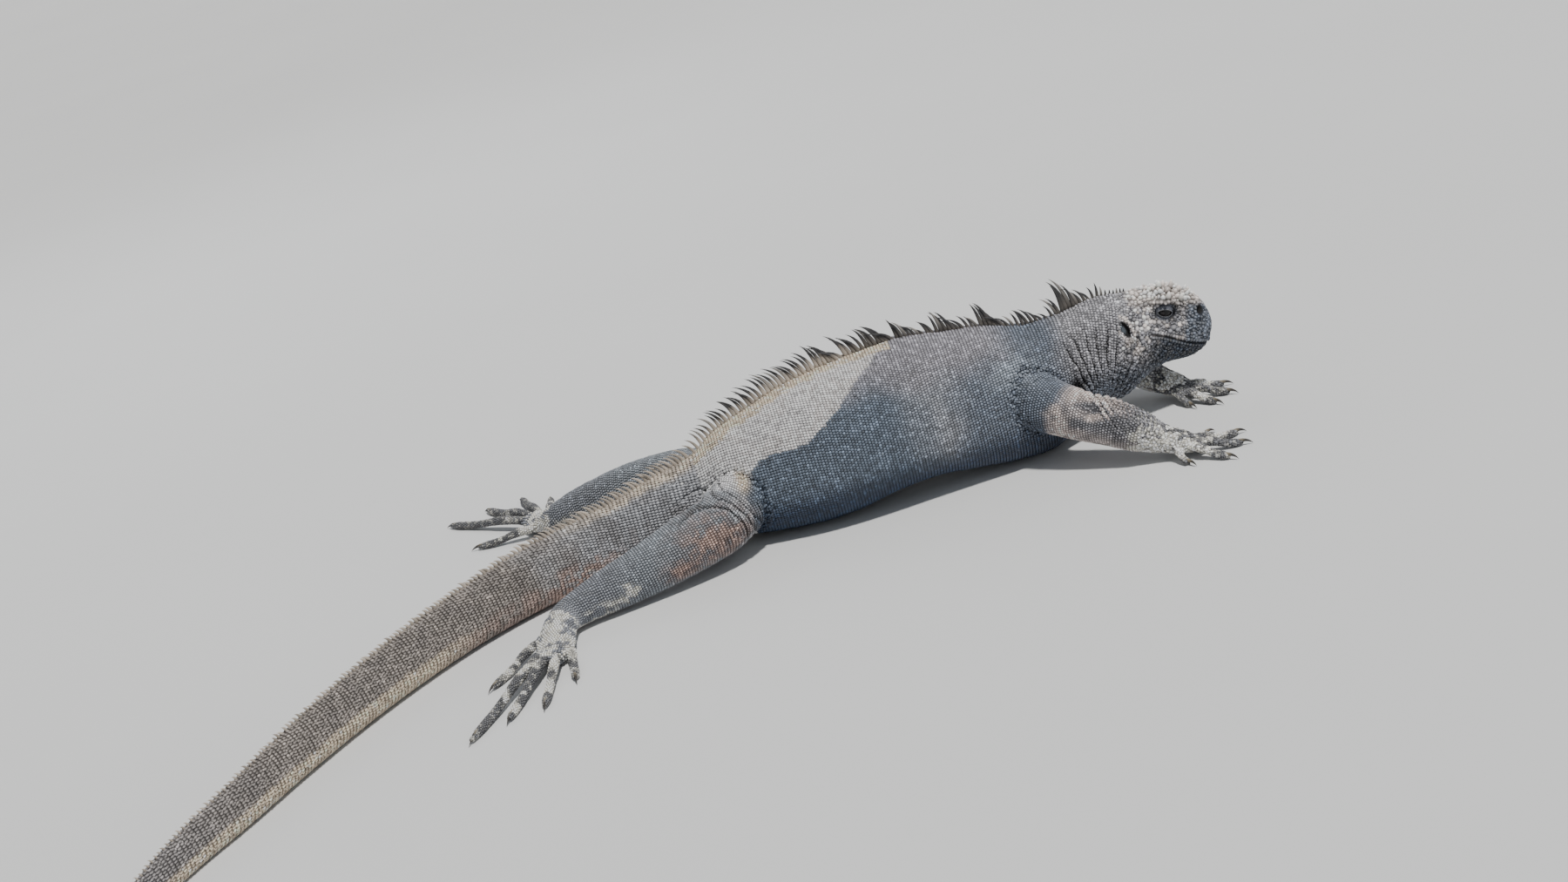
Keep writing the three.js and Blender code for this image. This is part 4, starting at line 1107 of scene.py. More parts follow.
def paint_arms(p):
    """Tan near the shoulder and underneath, a painted highlight of tan on the upper arm's top, darker on top
    further down, and caked with dried salt near the hands.
    """
    paint, arm, local, facing_up = p.paint, p.arm, p.local, p.facing_up
    middle, patchy = p.middle, p.patchy
    paint(ARM_GREY, arm)
    paint(TAN, arm * (1 - step(1.5, 2.5, local + (middle - 0.5))) * 0.95)
    # Painted highlight: tan on the upward-facing top of the upper arm
    paint(TAN, arm * 0.85 * (1 - step(3.0, 4.0, local)) * step(0.5, 0.85, facing_up))
    paint(TAN, arm * 0.6 * step(0.1, -0.6, facing_up))
    paint(HEAD_DARK, arm * 0.45 * step(0.5, 0.7, middle))
    flecks = step(0.35, 0.5, patchy + 0.1 * (local - 3.6))
    paint(CRUST, arm * step(3.6, 4.3, local) * step(0.75, 0.1, facing_up) * flecks)
    paint(FINGER, p.hand)


def paint_legs(p):
    """Grey with rust on the thigh, paler shins, and painted shade in the creases round the thigh's root."""
    paint, leg, x, z, local = p.paint, p.leg, p.x, p.z, p.local
    middle, patchy = p.middle, p.patchy
    paint(LEG_GREY, leg)
    thigh = hill(x, -53, 19) * hill(z, 24, 12) + 0.9 * hill(x, -78, 9) * hill(z, 14, 5)
    paint(RUST_DARK, leg * thigh * step(0.15, 0.4, middle))
    paint(RUST, leg * 1.3 * thigh * step(0.35, 0.62, patchy * 0.6 + middle * 0.4))
    paint(SHIN, leg * step(2.4, 4.4, local) * 0.8)
    paint(CRUST, leg * 0.7 * step(3.9, 4.5, local) * step(0.1, -0.4, p.facing_up) * step(0.46, 0.58, patchy))
    paint(SHIN, p.foot)
    # Painted shade in the creases round the thigh's root
    paint(FURROW_SHADE, (p.trunk + p.tail + leg > 0) * 0.8 * hip_folds(p.points))


def paint_salt(p):
    """Dark digits with painted shade on their undersides, and the dried salt on hands, feet and digits:
    flecks all over, and thick cakes.
    """
    paint, digit = p.paint, p.digit
    paint(FINGER, digit)
    ends = (p.hand | p.foot | digit) * 1.0
    paint(CRUST, ends * step(0.56, 0.66, lattice_noise(p.points, 1.7, 14)) * (1 - 0.7 * digit))
    paint(CRUST, ends * step(0.6, 0.72, p.middle - 0.06 * digit))
    for x, y, z, size in CAKES:
        away = np.hypot(np.hypot(p.x - x, p.y - y), p.z - z) + (p.patchy - 0.5) * 6
        paint(CRUST, (ends + p.arm + p.leg > 0) * (1 - step(size - 1.2, size + 1.2, away)))
    # Painted shade on the digits' downward-facing undersides
    paint(HEAD_DARK, digit * 0.5 * step(0.3, -0.4, p.facing_up))


def markings(points, normals, kind, local, turn):
    """Colour and wetness of places, from where they are on the body."""
    places = Places(points, normals, kind, local, turn)
    for paint_part in (paint_trunk, paint_neck, paint_head, paint_tail, paint_arms, paint_legs, paint_salt):
        paint_part(places)
    return places.colour, np.clip(places.wet, 0, 1)


# Roots: where scales sit

def ring_roots(course, row, around, low, high):
    """Roots in rings round a tube, a step apart in each ring, between two of its stations.

    Given two row heights, the rings start the first apart and grow evenly to the second.
    """
    length, grid = course["length"], course["grid"]
    start, end = (np.interp(place, np.arange(len(length)), length) for place in (low, high))
    first_row, last_row = row if isinstance(row, tuple) else (row, row)
    count = int((end - start) * 2 / (first_row + last_row))
    share = np.arange(count) / count
    widening = 1 + (1 - share) * (first_row - last_row) / (first_row + last_row)
    stops = start + (end - start) * share * widening
    index = np.interp(stops, length, np.arange(len(length)))
    first = np.minimum(index.astype(int), len(length) - 2)
    share = (index - first)[:, None, None]
    ring = mix(grid[first], grid[first + 1], share)
    ahead = grid[first + 1] - grid[first]
    closed = np.concatenate([ring, ring[:, :1]], axis=1)
    walked = np.cumsum(np.linalg.norm(np.diff(closed, axis=1), axis=2), axis=1)
    walked = np.concatenate([np.zeros((len(stops), 1)), walked], axis=1)
    rows = []
    sides = grid.shape[1]
    for i in range(len(stops)):
        count = max(5, int(round(walked[i, -1] / around)))
        places = (np.arange(count) + 0.5 * (i % 2)) / count * walked[i, -1]
        at = np.interp(places, walked[i], np.arange(sides + 1))
        j = np.minimum(at.astype(int), sides - 1)
        t = (at - j)[:, None]
        spot = mix(closed[i, j], closed[i, j + 1], t)
        tangent = closed[i, j + 1] - closed[i, j]
        along = unit(ahead[i, j % sides])
        out = unit(np.cross(tangent, along))
        outward = np.einsum("ij,ij->i", out, spot - ring[i].mean(axis=0))
        rows.append(
            {
                "point": spot,
                "out": out * np.sign(outward)[:, None],
                "along": along,
                "local": np.full(count, course["local"][first[i]]),
                "turn": at / sides,
                "kind": np.full(count, course["kind"][first[i]]),
            }
        )
    return joined(*rows)


def laid(along, out):
    """Directions laid flat on a surface that faces outwards."""
    return unit(along - out * np.einsum("ij,ij->i", along, out)[:, None])


class Ground:
    """The finished skin, as something to put roots on."""

    def __init__(self, thing):
        mesh = thing.data
        mesh.calc_loop_triangles()
        self.points = mesh_points(mesh)
        self.normals = mesh_normals(mesh)
        self.triangles = read_rows(mesh.loop_triangles, "vertices", 3, np.int32)
        self.tree = BVHTree.FromPolygons(self.points.tolist(), self.triangles.tolist())

    def facing(self, faces):
        """Directions outwards of some of the skin's triangles."""
        return unit(self.normals[self.triangles[faces]].mean(axis=1))

    def settle(self, roots, reach):
        """Moves roots on to the skin, and drops those that lie inside it or too far off."""
        spot, face, _ = nearest_on(self.tree, roots["point"])
        out = self.facing(face)
        away = np.linalg.norm(spot - roots["point"], axis=1)
        keep = (away < reach) & (np.einsum("ij,ij->i", out, roots["out"]) > 0.35)
        kept = picked(roots, keep)
        kept["point"], kept["out"] = spot[keep], out[keep]
        kept["along"] = laid(kept["along"], kept["out"])
        return kept

    def scattered(self, count, inside):
        """Random roots over the triangles whose middle passes a test, even by area."""
        a, b, c = (self.points[self.triangles[:, k]] for k in range(3))
        area = np.linalg.norm(np.cross(b - a, c - a), axis=1) * inside((a + b + c) / 3)
        face = rng.choice(len(area), count, p=area / area.sum())
        s, t = rng.random((2, count, 1))
        flip = s + t > 1
        s, t = np.where(flip, 1 - s, s), np.where(flip, 1 - t, t)
        spot = a[face] + (b[face] - a[face]) * s + (c[face] - a[face]) * t
        return spot, self.facing(face)


def locate(roots, finder):
    """Gives roots the kind, own coordinate, turn and direction of the tube they lie on."""
    roots["kind"], roots["local"], roots["turn"], roots["along"] = found(finder, roots["point"])


def clear_of(roots, others, gap):
    """Roots that have none of the others nearer than a gap."""
    return picked(roots, nearest_away(roots["point"], others) > gap)


def thrown(roots, spacing, first=0):
    """Keeps roots in turn while none kept before is nearer than their spacing, and always the first few."""
    points = roots["point"]
    kept = np.zeros(len(points), bool)
    kept[:first] = True
    taken = np.empty_like(points)
    taken[:first] = points[:first]
    widths = np.empty(len(points))
    widths[:first] = spacing[:first]
    count = first
    for i in range(first, len(points)):
        offset = taken[:count] - points[i]
        least = (widths[:count] + spacing[i]) * 0.5
        if count == 0 or (np.einsum("ij,ij->i", offset, offset) > least * least).all():
            taken[count], widths[count] = points[i], spacing[i]
            kept[i] = True
            count += 1
    return kept


# Shapes of one scale: corners as along, across, height and depth below the root, faces, and each corner's
# share from foot to top, low for painted shade and high for bleaching

def dome(sides, levels):
    """A closed dome: rings of radius, height and share from foot to top for painted shade and bleaching, a
    point on top and a flat sunk base.
    """
    angle = np.arange(sides) / sides * 2 * np.pi
    corners = [
        [radius * math.cos(a), radius * math.sin(a), height, float(i == 0)]
        for i, (radius, height, _) in enumerate(levels)
        for a in angle
    ]
    corners.append([0.0, 0.0, 1.0, 0.0])
    shade_and_wear_levels = np.repeat([worn for _, _, worn in levels], sides).tolist() + [1.0]
    return np.array(corners), cone_faces(len(levels), sides), np.array(shade_and_wear_levels)


def keel(front, rise):
    """A closed plate with a keel: a six-cornered rim, and a ridge that climbs from front to back."""
    rim = [(-1.0, -0.6), (-0.1, -1.0), (0.95, -0.75), (0.95, 0.75), (-0.1, 1.0), (-1.0, 0.6)]
    corners = [[a, b, 0.0, 1.0] for a, b in rim]
    heights = [front, 0.5, 0.7, 0.7, 0.5, front]
    corners += [[a * 0.86 + 0.08, b * 0.86, height, 0.0] for (a, b), height in zip(rim, heights)]
    corners += [[-0.6, 0.0, front + 0.25, 0.0], [1.0 + rise, 0.0, 1.0, 0.0]]
    # Low at the rim and front, where painted shade draws a dark line between rows; high on the keel's back,
    # which is bleached
    shade_and_wear_levels = [0.0] * 6 + [0.15, 0.5, 0.85, 0.85, 0.5, 0.15] + [0.6, 1.0]
    j = np.arange(6)
    nxt = (j + 1) % 6
    quads = np.stack([j, nxt, nxt + 6, j + 6], axis=1)
    slopes = [[6, 7, 12], [7, 8, 13], [8, 9, 13], [9, 10, 13]]
    slopes += [[10, 11, 12], [11, 6, 12], [7, 13, 12], [10, 12, 13]]
    return np.array(corners), [quads, np.array(slopes), j[::-1][None, :]], np.array(shade_and_wear_levels)


PEBBLE = dome(6, [(1.0, 0.0, 0.0), (0.82, 0.68, 0.55)])
CONE = dome(7, [(1.0, 0.0, 0.0), (0.74, 0.36, 0.4), (0.36, 0.78, 0.85)])
KEELED = keel(0.3, 0.0)
WHORLED = keel(0.25, 0.25)


def copied(faces, count, per):
    """The faces of many copies of a shape, each copy with its own points: as many as given for one."""
    shift = (np.arange(count) * per)[:, None, None]
    return [(part[None, :, :] + shift).reshape(-1, part.shape[1]) for part in faces]


def coat(name, roots, shape, size, look, unwrap):
    """Many copies of a small shape as joined meshes, each along, across and out from its own root.

    A corner lies at root + along * a * half-length + across * b * half-width + out * (c * height - depth),
    and a patch of the OFBake map holds each copy at its root's place on the unwrapped skin.
    """
    corners, faces, shade_and_wear_levels = shape
    length, width, height, sunk = size
    limit = PIECE_TRIANGLES // sum(len(part) * (part.shape[1] - 2) for part in faces)
    parts = max(1, math.ceil(len(roots["point"]) / limit))
    for number, chosen in enumerate(np.array_split(np.arange(len(roots["point"])), parts), 1):
        count, per = len(chosen), len(corners)
        out, along = roots["out"][chosen], roots["along"][chosen]
        side = unit(np.cross(out, along))
        a, b, c, d = (corners[:, k][None, :, None] for k in range(4))
        points = (
            roots["point"][chosen][:, None, :]
            + along[:, None, :] * a * (length[chosen] / 2)[:, None, None]
            + side[:, None, :] * b * (width[chosen] / 2)[:, None, None]
            + out[:, None, :] * (c * height[chosen][:, None, None] - d * sunk)
        ).reshape(-1, 3)
        label = name if parts == 1 else f"{name}_{number}"
        thing = new_mesh(label, off_floor(points), copied(faces, count, per))
        colour, wet = (np.repeat(roots[key][chosen], per, axis=0) for key in ("colour", "wet"))
        give(thing, look, marking=colour, wet=wet, worn=np.tile(shade_and_wear_levels, count))
        patch = (0.01 + 0.98 * unwrap[chosen])[:, None, :] + corners[None, :, :2] * PATCH_HALF
        bake_map(thing.data, patch.reshape(-1, 2))
        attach(thing, "root")


def bake_map(mesh, places):
    """Gives a mesh its OFBake map from one place for each point."""
    layer = mesh.uv_layers.new(name="OFBake")
    index = read_rows(mesh.loops, "vertex_index", 1, np.int32)[:, 0]
    layer.uv.foreach_set("vector", np.clip(places[index], 0, 1).astype(np.float32).ravel())


def coloured(roots, spread=0.12, specks=0.05):
    """Adds each root's marking, a little lighter or darker at random, with a few pale specks of salt."""
    colour, wet = markings(roots["point"], roots["out"], roots["kind"], roots["local"], roots["turn"])
    count = len(wet)
    tone = np.exp(rng.normal(0, spread * 1.3, count))
    tone = np.where(rng.random(count) < specks, tone * 2.0, tone)
    roots["colour"] = np.clip(colour * np.clip(tone, 0.45, 2.2)[:, None], 0, 0.9)
    roots["wet"] = wet
    return roots


def sizes(count, length, width, height, sunk=0.45, spread=0.07):
    """Lengths, widths and heights that vary a little round the given ones."""
    vary = lambda value: np.broadcast_to(value, (count,)) * (1 + rng.normal(0, spread, count))
    return vary(length), vary(width), vary(height), sunk


# Materials

def node(tree, kind, inputs=None, **settings):
    """Adds a shader node, sets its settings, and sets or links its inputs by name or number."""
    made = tree.nodes.new(kind)
    for key, value in settings.items():
        setattr(made, key, value)
    for key, value in (inputs or {}).items():
        socket = made.inputs[key]
        if isinstance(value, bpy.types.NodeSocket):
            tree.links.new(value, socket)
        else:
            socket.default_value = value
    return made


def maths(tree, operation, first, second, third=0.0):
    """A Math node's result."""
    return node(tree, "ShaderNodeMath", {0: first, 1: second, 2: third}, operation=operation).outputs[0]


def blended(tree, mode, share, first, second):
    """A colour Mix node's result."""
    made = node(tree, "ShaderNodeMix", {0: share, 6: first, 7: second}, data_type="RGBA", blend_type=mode)
    return made.outputs[2]


def new_group(name, inputs, outputs):
    """A shader node group with named sockets. Each is a name, a kind and, for inputs, a value."""
    group = bpy.data.node_groups.new(name, "ShaderNodeTree")
    for label, kind, value in inputs:
        socket = group.interface.new_socket(label, in_out="INPUT", socket_type=kind)
        if value is not None:
            socket.default_value = value
    for label, kind in outputs:
        group.interface.new_socket(label, in_out="OUTPUT", socket_type=kind)
    start = group.nodes.new("NodeGroupInput")
    end = group.nodes.new("NodeGroupOutput")
    return group, start, end


def shade_and_weathering_group():
    """Mottles a colour, paints shade on what lies deep and bleaches rubbed tops, and gives the roughness."""
    group, start, end = new_group(
        "shade_and_weathering",
        [
            ("Colour", "NodeSocketColor", None),
            ("Shade_and_wear", "NodeSocketFloat", 0.5),
            ("Wet", "NodeSocketFloat", 0.0),
            ("Shade", "NodeSocketFloat", 0.4),
            ("Bleach", "NodeSocketFloat", 0.25),
        ],
        [("Colour", "NodeSocketColor"), ("Roughness", "NodeSocketFloat")],
    )
    place = node(group, "ShaderNodeTexCoord").outputs["Object"]
    fine = node(group, "ShaderNodeTexNoise", {"Vector": place, "Scale": 1400.0, "Detail": 3.0}).outputs[0]
    broad = node(group, "ShaderNodeTexNoise", {"Vector": place, "Scale": 160.0, "Detail": 2.0}).outputs[0]
    mottle = maths(group, "MULTIPLY_ADD", fine, 0.5, 0.5)
    mottle = maths(group, "MULTIPLY_ADD", broad, 0.5, mottle)
    worn, least = start.outputs["Shade_and_wear"], start.outputs["Shade"]
    # Painted shade: the colour falls towards the Shade value where the share is low, at the foot of each
    # scale and between scales
    shade = maths(group, "MULTIPLY_ADD", maths(group, "SUBTRACT", 1.0, least), worn, least)
    level = maths(group, "MULTIPLY", mottle, shade)
    grey = node(group, "ShaderNodeCombineXYZ", {0: level, 1: level, 2: level}).outputs[0]
    colour = blended(group, "MULTIPLY", 1.0, start.outputs["Colour"], grey)
    high = maths(group, "POWER", worn, 3.0)
    dry = maths(group, "SUBTRACT", 1.0, maths(group, "MULTIPLY", start.outputs["Wet"], 0.7))
    share = maths(group, "MULTIPLY", maths(group, "MULTIPLY", high, dry), start.outputs["Bleach"])
    colour = blended(group, "SCREEN", share, colour, (0.42, 0.40, 0.38, 1.0))
    group.links.new(colour, end.inputs["Colour"])
    rough = maths(group, "MULTIPLY_ADD", start.outputs["Wet"], -0.3, 0.72)
    rough = maths(group, "MULTIPLY_ADD", fine, 0.16, rough)
    group.links.new(rough, end.inputs["Roughness"])
    return group


def grain_group():
    """Fine grain of horn and skin as a height: cells with soft noise over them."""
    group, start, end = new_group(
        "grain",
        [("Cells", "NodeSocketFloat", 1500.0), ("Pores", "NodeSocketFloat", 0.5)],
        [("Height", "NodeSocketFloat")],
    )
    place = node(group, "ShaderNodeTexCoord").outputs["Object"]
    cells = node(group, "ShaderNodeTexVoronoi", {"Vector": place, "Scale": start.outputs["Cells"]}).outputs[0]
    soft = node(group, "ShaderNodeTexNoise", {"Vector": place, "Scale": 2600.0, "Detail": 4.0}).outputs[0]
    height = maths(group, "MULTIPLY_ADD", cells, start.outputs["Pores"], soft)
    group.links.new(height, end.inputs["Height"])
    return group


SHADE_AND_WEATHERING = shade_and_weathering_group()
GRAIN = grain_group()


def new_material(name):
    """An empty material with one Principled shader, its node tree and that shader."""
    material = bpy.data.materials.new(name)
    material.use_nodes = True
    tree = material.node_tree
    return material, tree, tree.nodes["Principled BSDF"]


def hide_material(name, shade, bleach, cells, pores, depth, worn=None):
    """Skin, scale or spine: its marking, weathered and given painted shade by its own share from foot to top
    or the one given, and fine grain.
    """
    material, tree, shader = new_material(name)
    marking = node(tree, "ShaderNodeAttribute", attribute_name="marking").outputs["Color"]
    wet = node(tree, "ShaderNodeAttribute", attribute_name="wet").outputs["Fac"]
    if worn is None:
        worn = node(tree, "ShaderNodeAttribute", attribute_name="worn").outputs["Fac"]
    values = {"Colour": marking, "Wet": wet, "Shade_and_wear": worn, "Shade": shade, "Bleach": bleach}
    weather_and_shade = node(tree, "ShaderNodeGroup", values, node_tree=SHADE_AND_WEATHERING)
    grain = node(tree, "ShaderNodeGroup", {"Cells": cells, "Pores": pores}, node_tree=GRAIN)
    bump = node(tree, "ShaderNodeBump", {"Height": grain.outputs[0], "Strength": 0.5, "Distance": depth})
    tree.links.new(weather_and_shade.outputs["Colour"], shader.inputs["Base Color"])
    tree.links.new(weather_and_shade.outputs["Roughness"], shader.inputs["Roughness"])
    tree.links.new(bump.outputs[0], shader.inputs["Normal"])
    shader.inputs["Specular IOR Level"].default_value = 0.45
    return material


# Painted shade: the second number is how dark the deepest parts are painted; the skin between the scales is
# painted nearly that dark all over, and scales, spines and claws darker towards their foot
SKIN_LOOK = hide_material("skin_between_scales", 0.22, 0.0, 900.0, 1.0, 0.0004, worn=0.08)
SCALE_LOOK = hide_material("scale_horn", 0.14, 0.4, 1500.0, 0.3, 0.00012)
SPINE_LOOK = hide_material("spine_horn", 0.55, 0.2, 1100.0, 0.2, 0.0001)
CLAW_LOOK = hide_material("claw_horn", 0.6, 0.15, 700.0, 0.1, 0.00008)


def eye_material():
    """A wet, dark eye whose rings come from its marking."""
    material, tree, shader = new_material("eye")
    marking = node(tree, "ShaderNodeAttribute", attribute_name="marking").outputs["Color"]
    place = node(tree, "ShaderNodeTexCoord").outputs["Object"]
    streaks = node(tree, "ShaderNodeTexNoise", {"Vector": place, "Scale": 2200.0, "Detail": 3.0}).outputs[0]
    level = maths(tree, "MULTIPLY_ADD", streaks, 0.9, 0.55)
    grey = node(tree, "ShaderNodeCombineXYZ", {0: level, 1: level, 2: level}).outputs[0]
    tree.links.new(blended(tree, "MULTIPLY", 1.0, marking, grey), shader.inputs["Base Color"])
    shader.inputs["Roughness"].default_value = 0.1
    shader.inputs["Specular IOR Level"].default_value = 0.3
    return material


EYE_LOOK = eye_material()


def floor_material():
    """A plain pale floor, faintly uneven."""
    material, tree, shader = new_material("floor")
    place = node(tree, "ShaderNodeTexCoord").outputs["Object"]
    soft = node(tree, "ShaderNodeTexNoise", {"Vector": place, "Scale": 3.0, "Detail": 3.0}).outputs[0]
    tint = blended(tree, "MIX", soft, (0.60, 0.605, 0.61, 1.0), (0.64, 0.645, 0.65, 1.0))
    tree.links.new(tint, shader.inputs["Base Color"])
    shader.inputs["Roughness"].default_value = 0.9
    return material


# Spines and claws

def horns(name, root, bend, tip, side, wide, thick, colours, wet, look, unwrap, sides=6):
    """Curved tapering horns: rings of oval sections along a bent line from root to tip.

    The line is (1-t)^2 root + 2t(1-t) bend + t^2 tip, and a ring's size falls as 1 - t^1.45.
    """
    levels = np.array([0.0, 0.14, 0.3, 0.46, 0.62, 0.77, 0.9])
    t = levels[None, :, None]
    line = (1 - t) ** 2 * root[:, None] + 2 * t * (1 - t) * bend[:, None] + t**2 * tip[:, None]
    ahead = unit(2 * (1 - t) * (bend - root)[:, None] + 2 * t * (tip - bend)[:, None])
    across = unit(side[:, None] - ahead * np.einsum("ijk,ik->ij", ahead, side)[..., None])
    front = np.cross(across, ahead)
    taper = (1 - levels**1.45)[None, :, None, None]
    angle = np.arange(sides) / sides * 2 * np.pi
    ring = (
        line[:, :, None]
        + front[:, :, None] * (np.cos(angle)[None, None, :, None] * wide[:, None, None, None] / 2) * taper
        + across[:, :, None] * (np.sin(angle)[None, None, :, None] * thick[:, None, None, None] / 2) * taper
    )
    count = len(root)
    per = len(levels) * sides + 1
    points = np.concatenate([ring.reshape(count, -1, 3), tip[:, None]], axis=1).reshape(-1, 3)
    thing = new_mesh(name, off_floor(points), copied(cone_faces(len(levels), sides), count, per))
    share = np.append(np.repeat(levels, sides), 1.0)
    base, end = colours
    mixed = mix(base[:, None, :], end[:, None, :], step(0.12, 0.5, share)[None, :, None])
    # Painted shade: each spine and claw is darker towards its root and bleached towards its tip
    worn = np.tile(0.35 + 0.55 * share, count)
    give(thing, look, marking=mixed.reshape(-1, 3), wet=np.repeat(wet, per), worn=worn)
    turned = np.append(np.tile(np.arange(sides) / sides, len(levels)), 0.5)
    within = np.tile(np.stack([share, turned], axis=1) - 0.5, (count, 1))
    bake_map(thing.data, 0.01 + 0.98 * np.repeat(unwrap, per, axis=0) + within * (2 * PATCH_HALF))
    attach(thing, "root")


def crest_places():
    """Sections of the back where a spine grows, from the nape to near the tip of the tail."""
    front = np.arange(NAPE_X, SHOULDER_X, -2.0)
    trunk = np.arange(SHOULDER_X, VENT_X + 1, -2.6)
    share = np.arange(0, 1, 1 / TAIL_SPINES)
    tail = 1.5 + (TAIL_LENGTH - 14) * share * (1 - 0.14 * (1 - share))
    places = joined(trunk_sections(np.concatenate([front, trunk])), tail_sections(tail))
    return places, np.concatenate([front, trunk, VENT_X - tail])


def make_crest():
    """The crest: blades set along the back, bent towards the tail, and leaning into tufts on the trunk."""
    sections, along = crest_places()
    count = len(along)
    length = smooth_value(CREST_LENGTHS, 1, along) * rng.uniform(0.84, 1.08, count)
    on_tail = along < VENT_X
    lean = np.where(on_tail, 50.0, 41.0) + rng.uniform(-7, 7, count)
    shoulders = hill(along, 120, 40)
    length *= 1 + 0.22 * shoulders
    lean -= 2 * hill(along, 179, 6) + 30 * step(187, 194, along) + 8 * shoulders
    for middle in TUFTS:
        lean += 17 * np.clip((along - middle) / 7, -1, 1) * (np.abs(along - middle) < 9)
    lean = np.radians(lean)
    splay = rng.uniform(-0.16, 0.16, count)
    flopped = hill(along, 160, 6)
    splay += flopped * rng.uniform(0.2, 0.6, count) * (rng.random(count) < 0.5)
    top = rings(sections, np.zeros((count, 1)), -COAT)[:, 0]
    up, right = sections["up"], sections["right"]
    forward = np.cross(up, right)
    root = top - up * 1.5
    rise = np.minimum(length * np.cos(lean), CREST_TOP - top[:, 2])[:, None]
    back = (length * np.sin(lean))[:, None]
    sway = (splay * length)[:, None]
    bend = root + up * (1.5 + rise * 0.75) - forward * back * 0.25 + right * sway * 0.4
    tip = root + up * (1.5 + rise) - forward * back + right * sway
    wide = np.where(on_tail, 2.7 - 0.9 * step(-250, -500, along), 1.3 + length * 0.085)
    thick = np.maximum(0.9, wide * 0.55)
    dark, pale = linear(SPINE_DARK), linear(SPINE_PALE)
    tone = rng.uniform(0.7, 1.3, (count, 1))
    forepart = step(35, 70, along)[:, None]
    base = (pale * (1 - 0.8 * forepart) + dark * 0.8 * forepart) * tone
    hinder = step(-30, -70, along)[:, None]
    end = dark * (1 - hinder) + pale * 0.85 * hinder
    light = (rng.random((count, 1)) < 0.22) & (hinder < 0.5)
    end = np.where(light, linear(SPINE_GREY), end) * rng.uniform(0.7, 1.3, (count, 1))
    place = (along.max() - along) / (along.max() - along.min())
    unwrap = np.stack([place, np.full(count, 0.5)], axis=1)
    colours, wet = (base, end), np.zeros(count)
    horns("crest_spines", root, bend, tip, right, wide, thick, colours, wet, SPINE_LOOK, unwrap)


def make_claws(claws):
    """The claws: twenty dark horns, pale at the root, from the tops of the digits down to the floor."""
    root, bend, tip, side, thick = (np.array([claw[k] for claw in claws]) for k in range(5))
    ahead = unit((tip - root) * [1, 1, 0])
    root = root - ahead * 0.8
    count = len(claws)
    base = np.tile(linear(CLAW_ROOT), (count, 1)) * rng.uniform(0.8, 1.1, (count, 1))
    end = np.tile(linear(CLAW_END), (count, 1)) * rng.uniform(0.8, 1.2, (count, 1))
    unwrap = np.stack([np.arange(count) / count, np.full(count, 0.5)], axis=1)
    colours, wet = (base, end), np.full(count, 0.3)
    wide, thick = thick * 0.95, thick * 0.75
    horns("claws", root, bend, tip, side, wide, thick, colours, wet, CLAW_LOOK, unwrap, sides=10)


# Eyes and lids

def make_eye(side_name, side):
    """An eyeball: a sphere of rings round its gaze, with pupil, iris and dark rim."""
    r = side * (cheek_width(EYE_U, EYE_V) - EYE_SUNK)
    centre = head_point(EYE_U, EYE_V, r)
    gaze = unit(HEAD_RIGHT * side + HEAD_FORWARD * 0.18 - HEAD_UP * 0.1)
    first = unit(np.cross(gaze, HEAD_UP))
    second = np.cross(first, gaze)
    tilt = np.linspace(0.03, np.pi - 0.03, 40)[:, None, None]
    angle = (np.arange(48) / 48 * 2 * np.pi)[None, :, None]
    grid = centre + (EYE_RADIUS - 0.04) * (
        gaze * np.cos(tilt) + (first * np.cos(angle) + second * np.sin(angle)) * np.sin(tilt)
    )
    points, quads, fans = closed_tube(grid)
    thing = new_mesh(f"eyeball_{side_name}", points, [quads, fans])
    away = np.degrees(np.arccos(np.clip(unit(points - centre) @ gaze, -1, 1)))
    colour = np.tile(linear(EYE_RIM), (len(points), 1))
    colour = mix(colour, linear(IRIS), (step(15, 17, away) * (1 - step(38, 44, away)))[:, None])
    colour = mix(colour, linear(PUPIL), (1 - step(14, 17, away))[:, None])
    give(thing, EYE_LOOK, marking=colour)
    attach(thing, "root")
    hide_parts(f"eye_{side_name}")


def lid_grid(turns, shares):
    """The lids' u, v and r: from the half-closed opening out to the socket's edge, over the eyeball."""
    angle = turns * 2 * np.pi
    cos, sin = np.cos(angle)[None, :], np.sin(angle)[None, :]
    inner_v = np.where(sin > 0, OPENING_ABOVE, OPENING_BELOW) * np.sign(sin) * np.abs(sin) ** 1.15 - 0.5
    share = shares[:, None]
    du = mix(OPENING_LONG * cos, (LID_LONG + 0.6) * cos, share) + 0.2 * (1 - share)
    dv = mix(inner_v, (LID_HIGH + 0.6) * sin, share)
    u, v = EYE_U + du, EYE_V + dv
    ball = cheek_width(EYE_U, EYE_V) - EYE_SUNK
    reach = EYE_RADIUS + 0.6
    over = ball + np.sqrt(np.maximum(reach**2 - du**2 - (dv * 1.02) ** 2, 0.0))
    cheek = cheek_width(u, v) - COAT
    settle = step(0.3, 0.95, share)
    r = mix(over, np.maximum(over * 0.6 + cheek * 0.4, cheek), settle)
    r = np.where(share > 0.94, cheek - 0.5, r)
    fold = 0.35 * np.sin(share * np.pi * 5) * step(0.15, 0.4, share)
    fold = fold * (1 - step(0.75, 0.95, share)) * (sin > 0.2)
    return u, v, r + fold


def lid_line(side, turns, share):
    """Points on the lids' outer face along one line round the opening."""
    u, v, r = lid_grid(turns, np.array([share]))
    return head_point(u, v, side * r)[0]


